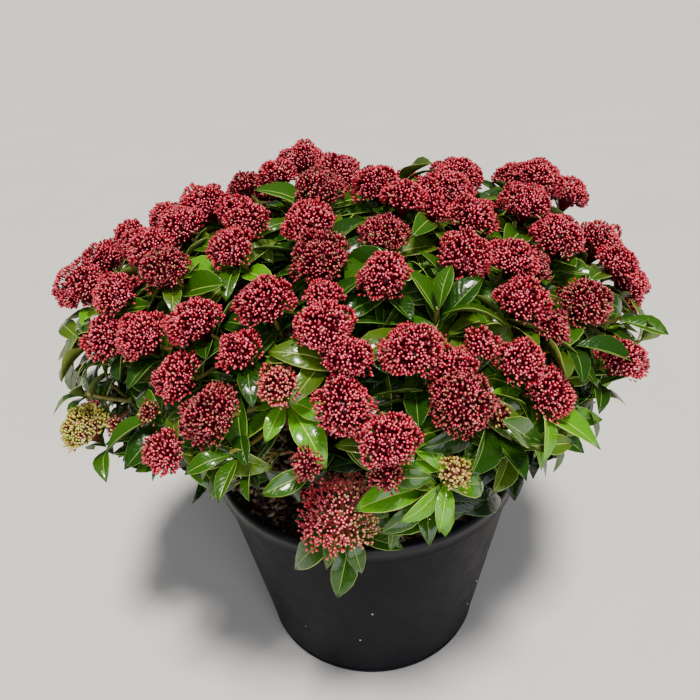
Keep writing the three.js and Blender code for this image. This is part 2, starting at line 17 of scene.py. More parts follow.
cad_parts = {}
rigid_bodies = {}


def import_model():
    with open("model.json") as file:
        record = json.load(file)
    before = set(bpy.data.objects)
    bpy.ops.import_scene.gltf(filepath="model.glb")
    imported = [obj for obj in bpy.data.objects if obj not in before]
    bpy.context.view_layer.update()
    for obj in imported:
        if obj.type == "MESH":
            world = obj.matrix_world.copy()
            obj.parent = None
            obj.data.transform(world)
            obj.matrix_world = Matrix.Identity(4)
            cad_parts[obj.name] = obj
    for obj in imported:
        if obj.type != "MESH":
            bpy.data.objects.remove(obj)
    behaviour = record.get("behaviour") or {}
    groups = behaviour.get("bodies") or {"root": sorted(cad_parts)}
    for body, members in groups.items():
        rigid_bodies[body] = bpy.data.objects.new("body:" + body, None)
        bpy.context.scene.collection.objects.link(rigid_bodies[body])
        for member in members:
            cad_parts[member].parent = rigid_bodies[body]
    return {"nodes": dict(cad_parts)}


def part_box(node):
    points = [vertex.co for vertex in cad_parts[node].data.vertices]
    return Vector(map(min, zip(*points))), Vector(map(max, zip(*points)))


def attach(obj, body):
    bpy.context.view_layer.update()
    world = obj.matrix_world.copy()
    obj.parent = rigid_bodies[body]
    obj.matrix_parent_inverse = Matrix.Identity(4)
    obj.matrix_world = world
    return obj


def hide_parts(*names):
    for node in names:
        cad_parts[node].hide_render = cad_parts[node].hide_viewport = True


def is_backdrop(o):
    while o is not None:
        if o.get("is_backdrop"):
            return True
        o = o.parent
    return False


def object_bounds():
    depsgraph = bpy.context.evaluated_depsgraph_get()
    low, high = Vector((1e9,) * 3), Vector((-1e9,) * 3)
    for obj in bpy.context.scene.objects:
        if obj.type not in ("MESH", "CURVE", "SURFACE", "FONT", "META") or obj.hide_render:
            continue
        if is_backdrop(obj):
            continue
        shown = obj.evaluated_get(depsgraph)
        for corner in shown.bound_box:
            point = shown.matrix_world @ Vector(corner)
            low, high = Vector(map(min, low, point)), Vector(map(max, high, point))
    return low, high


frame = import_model()
CAD_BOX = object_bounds()

bl_info = {
    "name": "Potted Bud Shrub",
    "version": (1, 0, 0),
    "blender": (4, 5, 0),
    "location": "View3D > Sidebar > Shrub",
    "description": "Builds a potted evergreen shrub with heads of red flower buds around its packed frame",
    "category": "Add Mesh",
}

BODY = "root"
BOUGH_NODES = sorted(name for name in frame["nodes"] if name.startswith("bough_"))
FOLIAGE_NODES = sorted(name for name in frame["nodes"] if name.startswith("foliage_"))

# Pot and compost, as in the frame
POT_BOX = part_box("pot")
POT_HEIGHT = POT_BOX[1].z
POT_RIM_RADIUS = POT_BOX[1].x
POT_RIM_HEIGHT = 0.016
POT_RIM_OVERHANG = 0.0035
POT_RIM_ROUND = 0.0048
POT_BASE_RADIUS = 0.1085
POT_WALL = 0.003
POT_FLOOR = 0.004
COMPOST_TOP = 0.185

# Stem
STEM_HEIGHT = 0.066
STEM_FOOT_RADIUS = 0.019
STEM_NECK_RADIUS = 0.013
STEM_NECK_HEIGHT = 0.020
STEM_TOP_RADIUS = 0.0105
STEM_LEAN = 0.08

# Crown: head centres lie near this ellipsoid
CROWN_CENTRE = np.array([0.0, 0.0, 0.268])
CROWN_RADII = np.array([0.247, 0.220, 0.186])
CROWN_CORE = 0.5
CROWN_SKIN = 0.034
SPRIG_SKIN = -0.016
SHOOTS_ON_A_SPHERE = 256
LATTICE_TURN = 132
LATTICE_JITTER = 2.5
REACH_JITTER = 0.05
HEAD_RADIUS = 0.016
HEAD_RADIUS_SPREAD = 0.0065
HEAD_FLOOR = 24
HIGH_HEAD_SHARE = 0.94
LOW_HEAD_SHARE = 0.36
LOW_SHOOT_SHARE = 0.72
SKIRT_BACK = -3
SKIRT_FRONT = 12
SKIRT_RIGHT = 8
SKIRT_TURNS = (0.35, 0.8)
SEED = 315
GOLDEN_ANGLE = 137.50776

# Lobes stand out of the ellipsoid: azimuth, elevation, rise as a share of the reach, and spread
LOBES = [
    (-149, 67, 0.13, 8),
    (107, 43, 0.21, 17),
    (-96, 42, 0.15, 24),
    (88, 25, 0.05, 8),
    (116, 54, 0.05, 12),
    (-38, 68, -0.04, 13),
]

# Hollows hold no shoot: azimuth, elevation and spread
HOLLOWS = [(-15, 25, 8.5)]

# Clearings hold no leaf of a common shoot: azimuth, elevation, spread and the reach where they begin
CLEARINGS = [
    (-15, 25, 7.5, 0.55),
    (-60, 13, 8, 0.88),
    (-66, 4, 8, 0.92),
    (-5, 9, 9, 0.84),
    (-28, -3, 8, 0.62),
    (96, 38, 11, 1.12),
    (-98, 43, 10, 1.16),
]

# Shoots with a place of their own: azimuth, elevation, reach, radius and the kind of their buds
NAMED_SHOOTS = [
    (-7, 0, 0.80, 0.028, "ripening"),
    (-72, 5, 1.02, 0.020, "pale"),
    (13, 18, 1.0, 0.0098, "cream"),
    (-18, 36, 0.97, 0.013, "flushed"),
]

# Common shoots keep this many degrees from them
NAMED_ROOM = 9

# Shoots near these places carry leaves and no head: azimuth, elevation and spread
LEAFY_PLACES = [(-20, 12, 5), (74, 20, 11.5), (-82, 24, 8), (-88, 9, 9), (-58, 28, 5), (15, 51, 7)]

# Shoots near these places carry young lime leaves: azimuth, elevation and spread
FRESH_PLACES = [(-80, 16, 6), (-18, 36, 4), (54, 44, 6), (36, 22, 6), (-50, 20, 6)]

# Leaves twist on their stalks until their upper side looks this way, and hang only by this share
LIGHT_SIDE = np.array([0.0, -0.3, 1.0])
LEAF_HANG = 0.5

# Leafy shoots inside the crown
INNER_ON_A_SPHERE = 52
INNER_TURN = 40
INNER_LOWEST = -14
INNER_HIGHEST = 34
INNER_REACH = 0.74
INNER_REACH_JITTER = 0.16

# Side heads fill the gaps that the first lattice leaves between heads
SIDE_ON_A_SPHERE = 620
SIDE_TURN = 71
SIDE_ROOM = 0.8
SIDE_NAMED_ROOM = 19
SIDE_FLOOR = 34
SIDE_HIGH_SHARE = 0.5
SIDE_LOW_SHARE = 0.3
SIDE_FORK = 0.6
SIDE_OVER_SKIRT = 3
SIDE_RADIUS = 0.0105
SIDE_RADIUS_SPREAD = 0.0075
SIDE_REACH_JITTER = 0.06
PLACED_SIDE_DEPTH = 0.02

# The keys that shoots draw their chances by go on from these numbers
PLACED_SIDE_KEY = 580
SIDE_KEY = 600
SPRIG_KEY = 1000

# Side heads with a place of their own: azimuth, elevation, radius and the kind of their buds
PLACED_SIDE_HEADS = [
    (-30, 28, 0.020, "red"),
    (-41, 33, 0.016, "red"),
    (-39, 17, 0.014, "red"),
    (-45, 24, 0.007, "budding"),
    (-55, 16, 0.006, "budding"),
    (-11, 21, 0.009, "dusky"),
    (2, 19, 0.010, "dusky"),
    (-4, 42, 0.015, "red"),
    (17, 38, 0.014, "red"),
    (23, 27, 0.008, "budding"),
]

# Hem of the foliage: its height by the pot's wall, and how it climbs outwards at the back, front and right
HEM_HEIGHT = 0.196
HEM_RADIUS = 0.15
HEM_DROP = 0.036
HEM_LIFT = 0.038
HEM_LIFT_AZIMUTH = -34
HEM_LIFT_SPREAD = 23
HEM_CLIMB = 0.70
HEM_CLIMB_FRONT = 0.40
HEM_CLIMB_RIGHT = 0.45
HEM_CLIMB_UNDER_DROP = 0.2

# Leaves keep this far over the rim or out from it, or in from it and over the compost
ROOM_OVER_RIM = 0.003
ROOM_OUT_FROM_RIM = 0.004
ROOM_IN_FROM_RIM = 0.012
ROOM_OVER_COMPOST = 0.010

# Masses of foliage, in three rings: name, count, elevation, turn, height on the stem, rise there, offset
RINGS = [
    ("low", 7, 10, 0, 0.020, 28, 0.003),
    ("middle", 6, 38, 28, 0.042, 48, 0.003),
    ("top", 3, 72, 10, 0.064, 74, 0.0062),
]

# Limbs and twigs
BOUGH_ROOT_RADIUS = 0.0046
BOUGH_TIP_RADIUS = 0.0034
BOUGH_BEND = 0.45
TWIG_BEND = 0.45
TWIG_LIFT = 0.35
SHOOT_LIFT = 0.75
HIGH_SHOOT_LIFT = 1.9
LEADER_FIRST_FORK = 0.1
LEADER_LAST_FORK = 0.62
LEADER_STEPS = 16
TWIG_STEPS = 12
HEAD_SHARE_OF_GAP = 0.485

# Camera, worked out from the pot's ellipses and the floor in the photo
CAMERA_PLACE = (-0.011, -0.56, 0.617)
CAMERA_PITCH = 28.97
CAMERA_ROLL = -3.07
CAMERA_LENS = 36.0
CAMERA_SENSOR = 36.0

# The lights look at this point in the crown
LIT_POINT = (0, 0, 0.3)


# Settings that a user would change

class ShrubPotSettings(bpy.types.PropertyGroup):
    """Sizes and colours of the nursery pot."""

    segments: IntProperty(name="Segments", description="Faces round the pot", default=144, min=24)
    seam_height: FloatProperty(
        name="Seam height", description="Height of the mould seam over the floor", default=0.0055,
        unit="LENGTH")
    colour: FloatVectorProperty(
        name="Plastic", description="Colour of the moulded plastic", default=(0.052, 0.060, 0.084),
        subtype="COLOR_GAMMA", size=3, min=0, max=1)
    specks: IntProperty(
        name="Grit", description="White grains of grit that cling to the wall", default=16, min=0)


class ShrubCompostSettings(bpy.types.PropertyGroup):
    """Sizes of the compost and its bark chips."""

    relief: FloatProperty(
        name="Relief", description="How far the surface rises and falls", default=0.0032, unit="LENGTH")
    chips: IntProperty(
        name="Chips", description="Bark chips of each colour for a square metre", default=9000, min=0)
    chip_length: FloatProperty(
        name="Chip length", description="Length of a common bark chip", default=0.013, unit="LENGTH")


class ShrubWoodSettings(bpy.types.PropertyGroup):
    """Sizes of the bark and of the twigs."""

    relief: FloatProperty(
        name="Bark relief", description="Depth of the furrows in old bark", default=0.0007, unit="LENGTH")
    leader_radius: FloatProperty(
        name="Leader radius", description="Radius of a leader at its root", default=0.0034, unit="LENGTH")
    twig_radius: FloatProperty(
        name="Twig radius", description="Radius of a twig at its root", default=0.0023, unit="LENGTH")
    tip_radius: FloatProperty(
        name="Tip radius", description="Radius of a twig under its head", default=0.0016, unit="LENGTH")
    sprigs: IntProperty(name="Sprigs", description="Side twigs on each twig", default=4, min=0)


class ShrubLeafSettings(bpy.types.PropertyGroup):
    """Sizes of the leaves."""

    length: FloatProperty(
        name="Length", description="Length of the shortest leaf", default=0.034, unit="LENGTH")
    spread: FloatProperty(
        name="Spread", description="How much longer the longest is", default=0.026, unit="LENGTH")
    slenderness: FloatProperty(
        name="Slenderness", description="Width of a common leaf as a share of its length", default=0.39)
    under_head: IntProperty(
        name="Under a head", description="Leaves in the whorl under a head", default=10, min=0)
    on_leafy: IntProperty(
        name="On a leafy shoot", description="Leaves at the end of a leafy shoot", default=9, min=0)
    on_sprig: IntProperty(
        name="On a sprig", description="Leaves at the end of a side twig", default=6, min=0)


class ShrubHeadSettings(bpy.types.PropertyGroup):
    """Sizes of the heads and their buds."""

    bud_radius: FloatProperty(
        name="Bud radius", description="Radius of a common bud", default=0.00098, unit="LENGTH")
    bud_spacing: FloatProperty(
        name="Bud spacing", description="Distance from bud to bud", default=0.0026, unit="LENGTH")
    fullness: FloatProperty(
        name="Fullness", description="Width of a head against the room it has", default=1.06)
    flatness: FloatProperty(
        name="Flatness", description="Height of a head against its width", default=0.86)


class ShrubStageSettings(bpy.types.PropertyGroup):
    """Light and floor round the shrub."""

    floor_size: FloatProperty(
        name="Floor", description="Width of the pale floor", default=80.0, unit="LENGTH")
    key_strength: FloatProperty(
        name="Key light", description="Strength of the main light from above", default=4.8)
    key_softness: FloatProperty(
        name="Key softness", description="How wide the main light looks", default=0.2, subtype="ANGLE")
    fill_power: FloatProperty(
        name="Fill light", description="Power of the second soft light", default=13.0, unit="POWER")
    sky: FloatProperty(
        name="Sky", description="Strength of the even light from all round", default=0.18)


SETTINGS = {
    "shrub_pot": ShrubPotSettings,
    "shrub_compost": ShrubCompostSettings,
    "shrub_wood": ShrubWoodSettings,
    "shrub_leaf": ShrubLeafSettings,
    "shrub_head": ShrubHeadSettings,
    "shrub_stage": ShrubStageSettings,
}


# The seeded rule: where the shoots stand and how the limbs reach them

def chance(*keys):
    """A repeatable number from 0 to 1 for a row of whole numbers, which tell shoots and draws apart."""
    mixed = SEED
    for key in keys:
        mixed = ((mixed ^ (key + 1)) * 2654435761) & 0xFFFFFFFF
        mixed ^= mixed >> 15
        mixed = (mixed * 2246822519) & 0xFFFFFFFF
        mixed ^= mixed >> 13
    return mixed / 4294967296


def lerp(start, end, share):
    return start + (end - start) * share


def smoothstep(value, low, high):
    share = min(max((value - low) / (high - low), 0.0), 1.0)
    return share * share * (3 - 2 * share)


def unit(vector):
    return vector / np.linalg.norm(vector)


def direction(azimuth, elevation):
    """Azimuth 0 is the side that is looked at, and 90 is +X."""
    turn, rise = math.radians(azimuth), math.radians(elevation)
    return np.array([math.sin(turn) * math.cos(rise), -math.cos(turn) * math.cos(rise), math.sin(rise)])


def degrees_between(first, second):
    return math.degrees(math.acos(min(max(float(first @ second), -1.0), 1.0)))


def near_any(towards, places):
    """Whether a direction lies within the spread of one of the places."""
    return any(degrees_between(towards, direction(azimuth, elevation)) < spread
               for azimuth, elevation, spread in places)


def lattice_elevation(i, count):
    """Elevation of one of count places that lie evenly over a sphere."""
    return math.degrees(math.asin(1 - (2 * i + 1) / count))


def crown_point(towards, reach):
    """A point along a direction from the crown's centre, by a reach that is 1 on the ellipsoid."""
    return CROWN_CENTRE + towards * CROWN_RADII * reach


def lobe_reach(towards):
    """How far the crown reaches along each row of directions, where the ellipsoid is 1."""
    reach = np.ones(towards.shape[:-1])
    for azimuth, elevation, rise, spread in LOBES:
        angle = np.degrees(np.arccos(np.clip(towards @ direction(azimuth, elevation), -1, 1)))
        reach = reach + rise * np.exp(-((angle / spread) ** 2))
    return reach


def skirt_elevation(azimuth):
    """The crown's lower edge is higher in front, where the compost shows, and on the right."""
    front = smoothstep(math.cos(math.radians(azimuth)), *SKIRT_TURNS)
    right = smoothstep(math.sin(math.radians(azimuth)), *SKIRT_TURNS)
    return max(lerp(SKIRT_BACK, SKIRT_FRONT, front), lerp(SKIRT_BACK, SKIRT_RIGHT, right))


def new_shoot(key, towards, reach, radius, kind, flowering=True, side=False):
    """A shoot whose tip lies along a direction from the crown's centre."""
    return SimpleNamespace(
        key=key, towards=towards, reach=reach, tip=crown_point(towards, reach), radius=radius, kind=kind,
        flowering=flowering, side=side)


def lattice_shoots():
    """Shoots on a golden-angle lattice over the dome, with a little seeded scatter."""
    shoots = []
    for i in range(SHOOTS_ON_A_SPHERE):
        scatter = LATTICE_JITTER * (2 * chance(i, 1) - 1)
        elevation = min(lattice_elevation(i, SHOOTS_ON_A_SPHERE) + scatter, 89)
        sideways = LATTICE_JITTER * (2 * chance(i, 2) - 1) / max(math.cos(math.radians(elevation)), 0.2)
        azimuth = i * GOLDEN_ANGLE + LATTICE_TURN + sideways
        if elevation < skirt_elevation(azimuth):
            continue
        if elevation < HEAD_FLOOR and chance(i, 6) > LOW_SHOOT_SHARE:
            continue
        towards = direction(azimuth, elevation)
        reach = float(lobe_reach(towards)) + REACH_JITTER * (chance(i, 3) - 0.5)
        flowering = chance(i, 4) < (HIGH_HEAD_SHARE if elevation > HEAD_FLOOR else LOW_HEAD_SHARE)
        radius = HEAD_RADIUS + HEAD_RADIUS_SPREAD * chance(i, 5)
        shoots.append(new_shoot(i, towards, reach, radius, "red", flowering))
    return shoots


def crown_shoots():
    """The outer shoots: those of the lattice that have room, and those with a place of their own."""
    named = [new_shoot(SHOOTS_ON_A_SPHERE + i, direction(azimuth, elevation), reach, radius, kind)
             for i, (azimuth, elevation, reach, radius, kind) in enumerate(NAMED_SHOOTS)]
    shoots = []
    for shoot in lattice_shoots():
        crowded = any(degrees_between(shoot.towards, other.towards) < NAMED_ROOM for other in named)
        if crowded or near_any(shoot.towards, HOLLOWS):
            continue
        if near_any(shoot.towards, LEAFY_PLACES):
            shoot.flowering = False
        shoots.append(shoot)
    return shoots + named


def crown_masses(shoots):
    """Each shoot belongs to the mass whose direction is nearest."""
    masses = []
    for name, count, elevation, turn, stem_height, rise, offset in RINGS:
        for i in range(count):
            azimuth = turn + i * 360 / count
            masses.append(SimpleNamespace(
                name=f"{name}_{i + 1}", azimuth=azimuth, towards=direction(azimuth, elevation),
                stem_height=stem_height, rise=rise, offset=offset, shoots=[]))
    for shoot in shoots:
        shoot.mass = max(masses, key=lambda mass: float(mass.towards @ shoot.towards))
        shoot.mass.shoots.append(shoot)
    for mass in masses:
        mass.middle = unit(sum(shoot.towards for shoot in mass.shoots))
    return masses


def fit_heads(shoots):
    """Heads keep clear of each other."""
    heads = [shoot for shoot in shoots if shoot.flowering]
    for shoot in heads:
        for other in heads:
            if other is not shoot:
                gap = float(np.linalg.norm(shoot.tip - other.tip))
                shoot.radius = min(shoot.radius, gap * HEAD_SHARE_OF_GAP)


def add_inner_shoots(shoots):
    """Inner shoots grow in the mass of the outer shoot that they lie behind."""
    for i in range(INNER_ON_A_SPHERE):
        elevation = lattice_elevation(i, INNER_ON_A_SPHERE)
        if elevation < INNER_LOWEST or elevation > INNER_HIGHEST:
            continue
        towards = direction(i * GOLDEN_ANGLE + INNER_TURN, elevation)
        before = max(shoots, key=lambda shoot: float(shoot.towards @ towards))
        reach = INNER_REACH + INNER_REACH_JITTER * (chance(i, 21) - 0.5)
        key = SHOOTS_ON_A_SPHERE + len(NAMED_SHOOTS) + i
        before.mass.shoots.append(new_shoot(key, towards, reach, 0.0, "leafy", flowering=False))


def lengths_along(path):
    """How far along a path each of its points lies."""
    return np.concatenate([[0], np.cumsum(np.linalg.norm(np.diff(path, axis=0), axis=1))])


def points_at(path, length, places):
    """Points of a path at places along its length."""
    return np.stack([np.interp(places, length, path[:, axis]) for axis in range(3)], axis=1)


def curve_points(first, middle, last, count):
    """Evenly spaced points along a quadratic curve, count steps from end to end."""
    fine = np.linspace(0, 1, 65)[:, None]
    points = (1 - fine) ** 2 * first + 2 * fine * (1 - fine) * middle + fine ** 2 * last
    length = lengths_along(points)
    return points_at(points, length, np.linspace(0, length[-1], count + 1))


def twig_points(start, tip, count):
    """A twig sets off towards its shoot and turns up and outwards at the tip."""
    outward = unit(unit(tip - CROWN_CENTRE) + np.array([0, 0, TWIG_LIFT]))
    bend = tip - outward * float(np.linalg.norm(tip - start)) * TWIG_BEND
    return curve_points(start, bend, tip, count)


def bough_points(mass, count):
    """A bough leaves the stem, bends over and ends where its mass begins."""
    foot = np.array([STEM_LEAN * mass.stem_height, 0, COMPOST_TOP + mass.stem_height])
    start = foot + direction(mass.azimuth, 0) * mass.offset
    tip = crown_point(mass.middle, CROWN_CORE)
    reach = float(np.linalg.norm(tip - start))
    return curve_points(start, start + direction(mass.azimuth, mass.rise) * reach * BOUGH_BEND, tip, count)


def shoot_axis(twig, lift):
    """The end of a twig turns up towards the light, and its head and leaves with it."""
    return unit(unit(twig[-1] - twig[len(twig) // 2]) + np.array([0, 0, lift]))


def grow_twigs(mass):
    """A leader runs to the shoot nearest the mass's middle, and a twig leaves it for each other shoot."""
    start = crown_point(mass.middle, CROWN_CORE)
    first, *others = sorted(mass.shoots, key=lambda shoot: float(np.linalg.norm(shoot.towards - mass.middle)))
    leader = twig_points(start, first.tip, LEADER_STEPS)
    first.twig, first.leads = leader, True
    others.reverse()
    for i, shoot in enumerate(others):
        share = i / (len(others) - 1) if len(others) > 1 else 0
        station = lerp(LEADER_FIRST_FORK, LEADER_LAST_FORK, share) * LEADER_STEPS
        low = int(station)
        fork = lerp(leader[low], leader[low + 1], station - low)
        shoot.twig, shoot.leads = twig_points(fork, shoot.tip, TWIG_STEPS), False
    for shoot in mass.shoots:
        lift = HIGH_SHOOT_LIFT if shoot.kind in ("ripening", "pale") else SHOOT_LIFT
        shoot.outward = shoot_axis(shoot.twig, lift)


def side_head(key, towards, reach, radius, kind, outer):
    """A head on a side shoot that leaves the twig of the nearest outer shoot."""
    head = new_shoot(key, towards, reach, radius, kind, side=True)
    carrier = min(outer, key=lambda shoot: float(np.linalg.norm(shoot.tip - head.tip)))
    fork = carrier.twig[int(len(carrier.twig) * SIDE_FORK)]
    head.twig, head.leads = twig_points(fork, head.tip, TWIG_STEPS), False
    head.outward = shoot_axis(head.twig, SHOOT_LIFT)
    return head


def grow_side_heads(shoots):
    """Small heads on side shoots, some in places of their own and others where heads leave a gap."""
    outer = [shoot for shoot in shoots if shoot.flowering]
    sides = []
    for i, (azimuth, elevation, radius, kind) in enumerate(PLACED_SIDE_HEADS):
        towards = direction(azimuth, elevation)
        reach = float(lobe_reach(towards)) - PLACED_SIDE_DEPTH
        sides.append(side_head(PLACED_SIDE_KEY + i, towards, reach, radius, kind, outer))
    named = [(azimuth, elevation, SIDE_NAMED_ROOM) for azimuth, elevation, *rest in NAMED_SHOOTS
             if elevation < SIDE_FLOOR]
    for i in range(SIDE_ON_A_SPHERE):
        elevation = lattice_elevation(i, SIDE_ON_A_SPHERE)
        azimuth = i * GOLDEN_ANGLE + SIDE_TURN
        towards = direction(azimuth, elevation)
        share = SIDE_HIGH_SHARE if elevation > SIDE_FLOOR else SIDE_LOW_SHARE
        if elevation < skirt_elevation(azimuth) + SIDE_OVER_SKIRT or chance(i, 23) > share:
            continue
        if near_any(towards, HOLLOWS + LEAFY_PLACES + named):
            continue
        radius = SIDE_RADIUS + SIDE_RADIUS_SPREAD * chance(i, 24)
        reach = float(lobe_reach(towards)) + SIDE_REACH_JITTER * (chance(i, 25) - 0.75)
        tip = crown_point(towards, reach)
        gaps = [float(np.linalg.norm(tip - other.tip)) / (radius + other.radius) for other in outer + sides]
        if min(gaps) > SIDE_ROOM:
            sides.append(side_head(SIDE_KEY + i, towards, reach, radius, "red", outer))
    return sides


def grow_shrub():
    """The whole plant's shoots and masses, grown once and kept for every operator."""
    outer = crown_shoots()
    masses = crown_masses(outer)
    fit_heads(outer)
    add_inner_shoots(outer)
    for mass in masses:
        grow_twigs(mass)
    shoots = [shoot for mass in masses for shoot in mass.shoots]
    shoots += grow_side_heads(shoots)
    heads = [shoot for shoot in shoots if shoot.flowering]
    return SimpleNamespace(masses=masses, shoots=shoots, heads=heads)


SHRUB = grow_shrub()
HEAD_TIPS = np.array([shoot.tip for shoot in SHRUB.heads])
HEAD_SIZES = np.array([shoot.radius for shoot in SHRUB.heads])

# Keys of the heads with a place of their own, of the shoots with lime leaves and of the head over the rim
NAMED_KEYS = {shoot.key for shoot in SHRUB.heads if shoot.kind != "red" and not shoot.side}
FRESH_KEYS = {shoot.key for shoot in SHRUB.shoots
              if shoot.kind == "cream" or near_any(shoot.towards, FRESH_PLACES)}
RIM_KEYS = {shoot.key for shoot in SHRUB.heads if shoot.kind == "ripening"}


def in_clearing(points):
    """Whether each point lies in one of the crown's clearings."""
    inside = np.zeros(points.shape[:-1], bool)
    place = (points - CROWN_CENTRE) / CROWN_RADII
    reach = np.linalg.norm(place, axis=-1)
    for azimuth, elevation, spread, floor in CLEARINGS:
        aside = np.degrees(np.arccos(np.clip(place @ direction(azimuth, elevation) / reach, -1, 1)))
        inside |= (aside < spread) & (reach > floor)
    return inside


def has_room(points, skin, head_share=1.0, drop=0.0, named=False):
    """Whether each point lies in the crown's reach, off the pot, over the hem and outside every head."""
    place = (points - CROWN_CENTRE) / CROWN_RADII
    reach = np.linalg.norm(place, axis=-1)
    share_beyond = 1 - lobe_reach(place / reach[..., None]) / reach
    beyond = np.linalg.norm(points - CROWN_CENTRE, axis=-1) * share_beyond
    across = np.hypot(points[..., 0], points[..., 1])
    off_pot = (points[..., 2] > POT_HEIGHT + ROOM_OVER_RIM) | (across > POT_RIM_RADIUS + ROOM_OUT_FROM_RIM)
    over_compost = points[..., 2] > COMPOST_TOP + ROOM_OVER_COMPOST
    inside_rim = (across < POT_RIM_RADIUS - ROOM_IN_FROM_RIM) & over_compost
    climb = HEM_CLIMB + HEM_CLIMB_RIGHT * points[..., 0] / across
    climb = climb + HEM_CLIMB_FRONT * np.maximum(-points[..., 1] / across, 0)
    if drop > 0:
        climb = climb * HEM_CLIMB_UNDER_DROP
    azimuth = np.degrees(np.arctan2(points[..., 0], -points[..., 1]))
    lift = HEM_LIFT * np.exp(-(((azimuth - HEM_LIFT_AZIMUTH) / HEM_LIFT_SPREAD) ** 2))
    over_hem = points[..., 2] > HEM_HEIGHT - drop + lift + climb * (across - HEM_RADIUS)
    gaps = np.linalg.norm(points[..., None, :] - HEAD_TIPS, axis=-1) / HEAD_SIZES
    clear = (off_pot | inside_rim) & over_hem & (named | ~in_clearing(points))
    return (beyond < skin) & clear & (gaps.min(axis=-1) > head_share)


# Meshes, finishes and trees of nodes

def stand(name, mesh):
    """Puts a mesh in the scene as an object at the origin."""
    made = bpy.data.objects.new(name, mesh)
    bpy.context.scene.collection.objects.link(made)
    return made


def mesh_object(name, vertices, faces, smooth=True):
    """Puts an object with these vertices and faces in the scene."""
    mesh = bpy.data.meshes.new(name)
    mesh.from_pydata([tuple(map(float, vertex)) for vertex in vertices], [], faces)
    mesh.polygons.foreach_set("use_smooth", [smooth] * len(mesh.polygons))
    mesh.validate()
    return stand(name, mesh)


def seat_piece(piece, slot, *nodes):
    """Rides a finished piece on the plant's body, and lets it stand for its nodes."""
    if not piece.data.polygons:
        raise RuntimeError(f"{piece.name} came out with no faces")
    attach(piece, BODY)
    if nodes:
        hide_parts(*nodes)


def linear(colour):
    """A hex or gamma colour as the linear colour that a shader takes."""
    if isinstance(colour, str):
        colour = [int(colour[i:i + 2], 16) / 255 for i in (1, 3, 5)]
    return [c / 12.92 if c <= 0.04045 else ((c + 0.055) / 1.055) ** 2.4 for c in colour] + [1.0]


def add(tree, kind, settings=None, **links):
    """Adds a node with its settings, the stops of a colour ramp among them, and sets or links its inputs by
    name, with _ for a space, or by number after a _. A node given for an input is linked by its first live
    output."""
    node = tree.nodes.new(kind)
    for key, value in (settings or {}).items():
        if key == "stops":
            while len(node.color_ramp.elements) < len(value):
                node.color_ramp.elements.new(0.5)
            for element, (position, colour) in zip(node.color_ramp.elements, value):
                element.position = position
                element.color = linear(colour)
        else:
            setattr(node, key, value)
    for key, value in links.items():
        socket = node.inputs[int(key[1:])] if key[1:].isdigit() else node.inputs[key.replace("_", " ")]
        if isinstance(value, bpy.types.Node):
            value = next(output for output in value.outputs if output.enabled)
        if isinstance(value, bpy.types.NodeSocket):
            tree.links.new(value, socket)
        else:
            socket.default_value = value
    return node


def new_finish(name):
    """A new material with an empty tree, and the object's own coordinates."""
    material = bpy.data.materials.new(name)
    material.use_nodes = True
    tree = material.node_tree
    tree.nodes.clear()
    return material, tree, add(tree, "ShaderNodeTexCoord").outputs["Object"]


def moulded_plastic(colour):
    """Injection-moulded polypropylene: near black and satin, with a fine moulded grain, small scuffs that
    dull the shine, a thin haze of dry dust that greys it in patches, and a lip that hands have rubbed
    bright. The grain is drawn a little coarser than life, so that it shows."""
    material, tree, place = new_finish("Moulded black polypropylene")
    dust = add(tree, "ShaderNodeTexNoise", Vector=place, Scale=14.0, Detail=5.0, Roughness=0.65)
    scuff = add(tree, "ShaderNodeTexNoise", Vector=place, Scale=70.0, Detail=6.0, Roughness=0.7)
    grain = add(tree, "ShaderNodeTexNoise", Vector=place, Scale=1600.0, Detail=2.0)
    haze = add(tree, "ShaderNodeMapRange", Value=dust, From_Min=0.45, From_Max=0.8, To_Min=0.0, To_Max=0.1)
    tone = add(tree, "ShaderNodeMix", {"data_type": "RGBA"}, Factor=haze, _6=linear(colour),
               _7=linear("#24262B"))
    gloss = add(tree, "ShaderNodeMapRange", Value=scuff, From_Min=0.3, From_Max=0.75,
                To_Min=0.42, To_Max=0.56)
    height = add(tree, "ShaderNodeSeparateXYZ", Vector=place).outputs["Z"]
    rubbed = add(tree, "ShaderNodeMapRange", Value=height, From_Min=0.187, From_Max=0.197,
                 To_Min=0.06, To_Max=0.36)
    bump = add(tree, "ShaderNodeBump", Height=grain, Strength=0.12, Distance=0.0003)
    add(tree, "ShaderNodeOutputMaterial", Surface=add(
        tree, "ShaderNodeBsdfPrincipled", Base_Color=tone, Roughness=gloss, IOR=1.49,
        Specular_IOR_Level=rubbed, Normal=bump))
    return material


def grit():
    """Grains of perlite: white, dry and matt, with a little grey dirt."""
    material, tree, place = new_finish("Perlite grit")
    dirt = add(tree, "ShaderNodeTexNoise", Vector=place, Scale=900.0, Detail=2.0)
    tone = add(tree, "ShaderNodeValToRGB", {"stops": [(0.35, "#A9A59C"), (0.6, "#E6E3DA")]}, Fac=dirt)
    add(tree, "ShaderNodeOutputMaterial", Surface=add(
        tree, "ShaderNodeBsdfPrincipled", Base_Color=tone, Roughness=0.9))
    return material


def soil():
    """Peaty compost: nearly black and crumbly, and matt where it is dry."""
    material, tree, place = new_finish("Peat compost")
    crumb = add(tree, "ShaderNodeTexNoise", Vector=place, Scale=420.0, Detail=6.0, Roughness=0.7)
    shades = [(0.35, "#120C08"), (0.55, "#2E2018"), (0.75, "#59412F")]
    tone = add(tree, "ShaderNodeValToRGB", {"stops": shades}, Fac=crumb)
    bump = add(tree, "ShaderNodeBump", Height=crumb, Strength=0.8, Distance=0.002)
    add(tree, "ShaderNodeOutputMaterial", Surface=add(
        tree, "ShaderNodeBsdfPrincipled", Base_Color=tone, Roughness=0.95, Normal=bump))
    return material


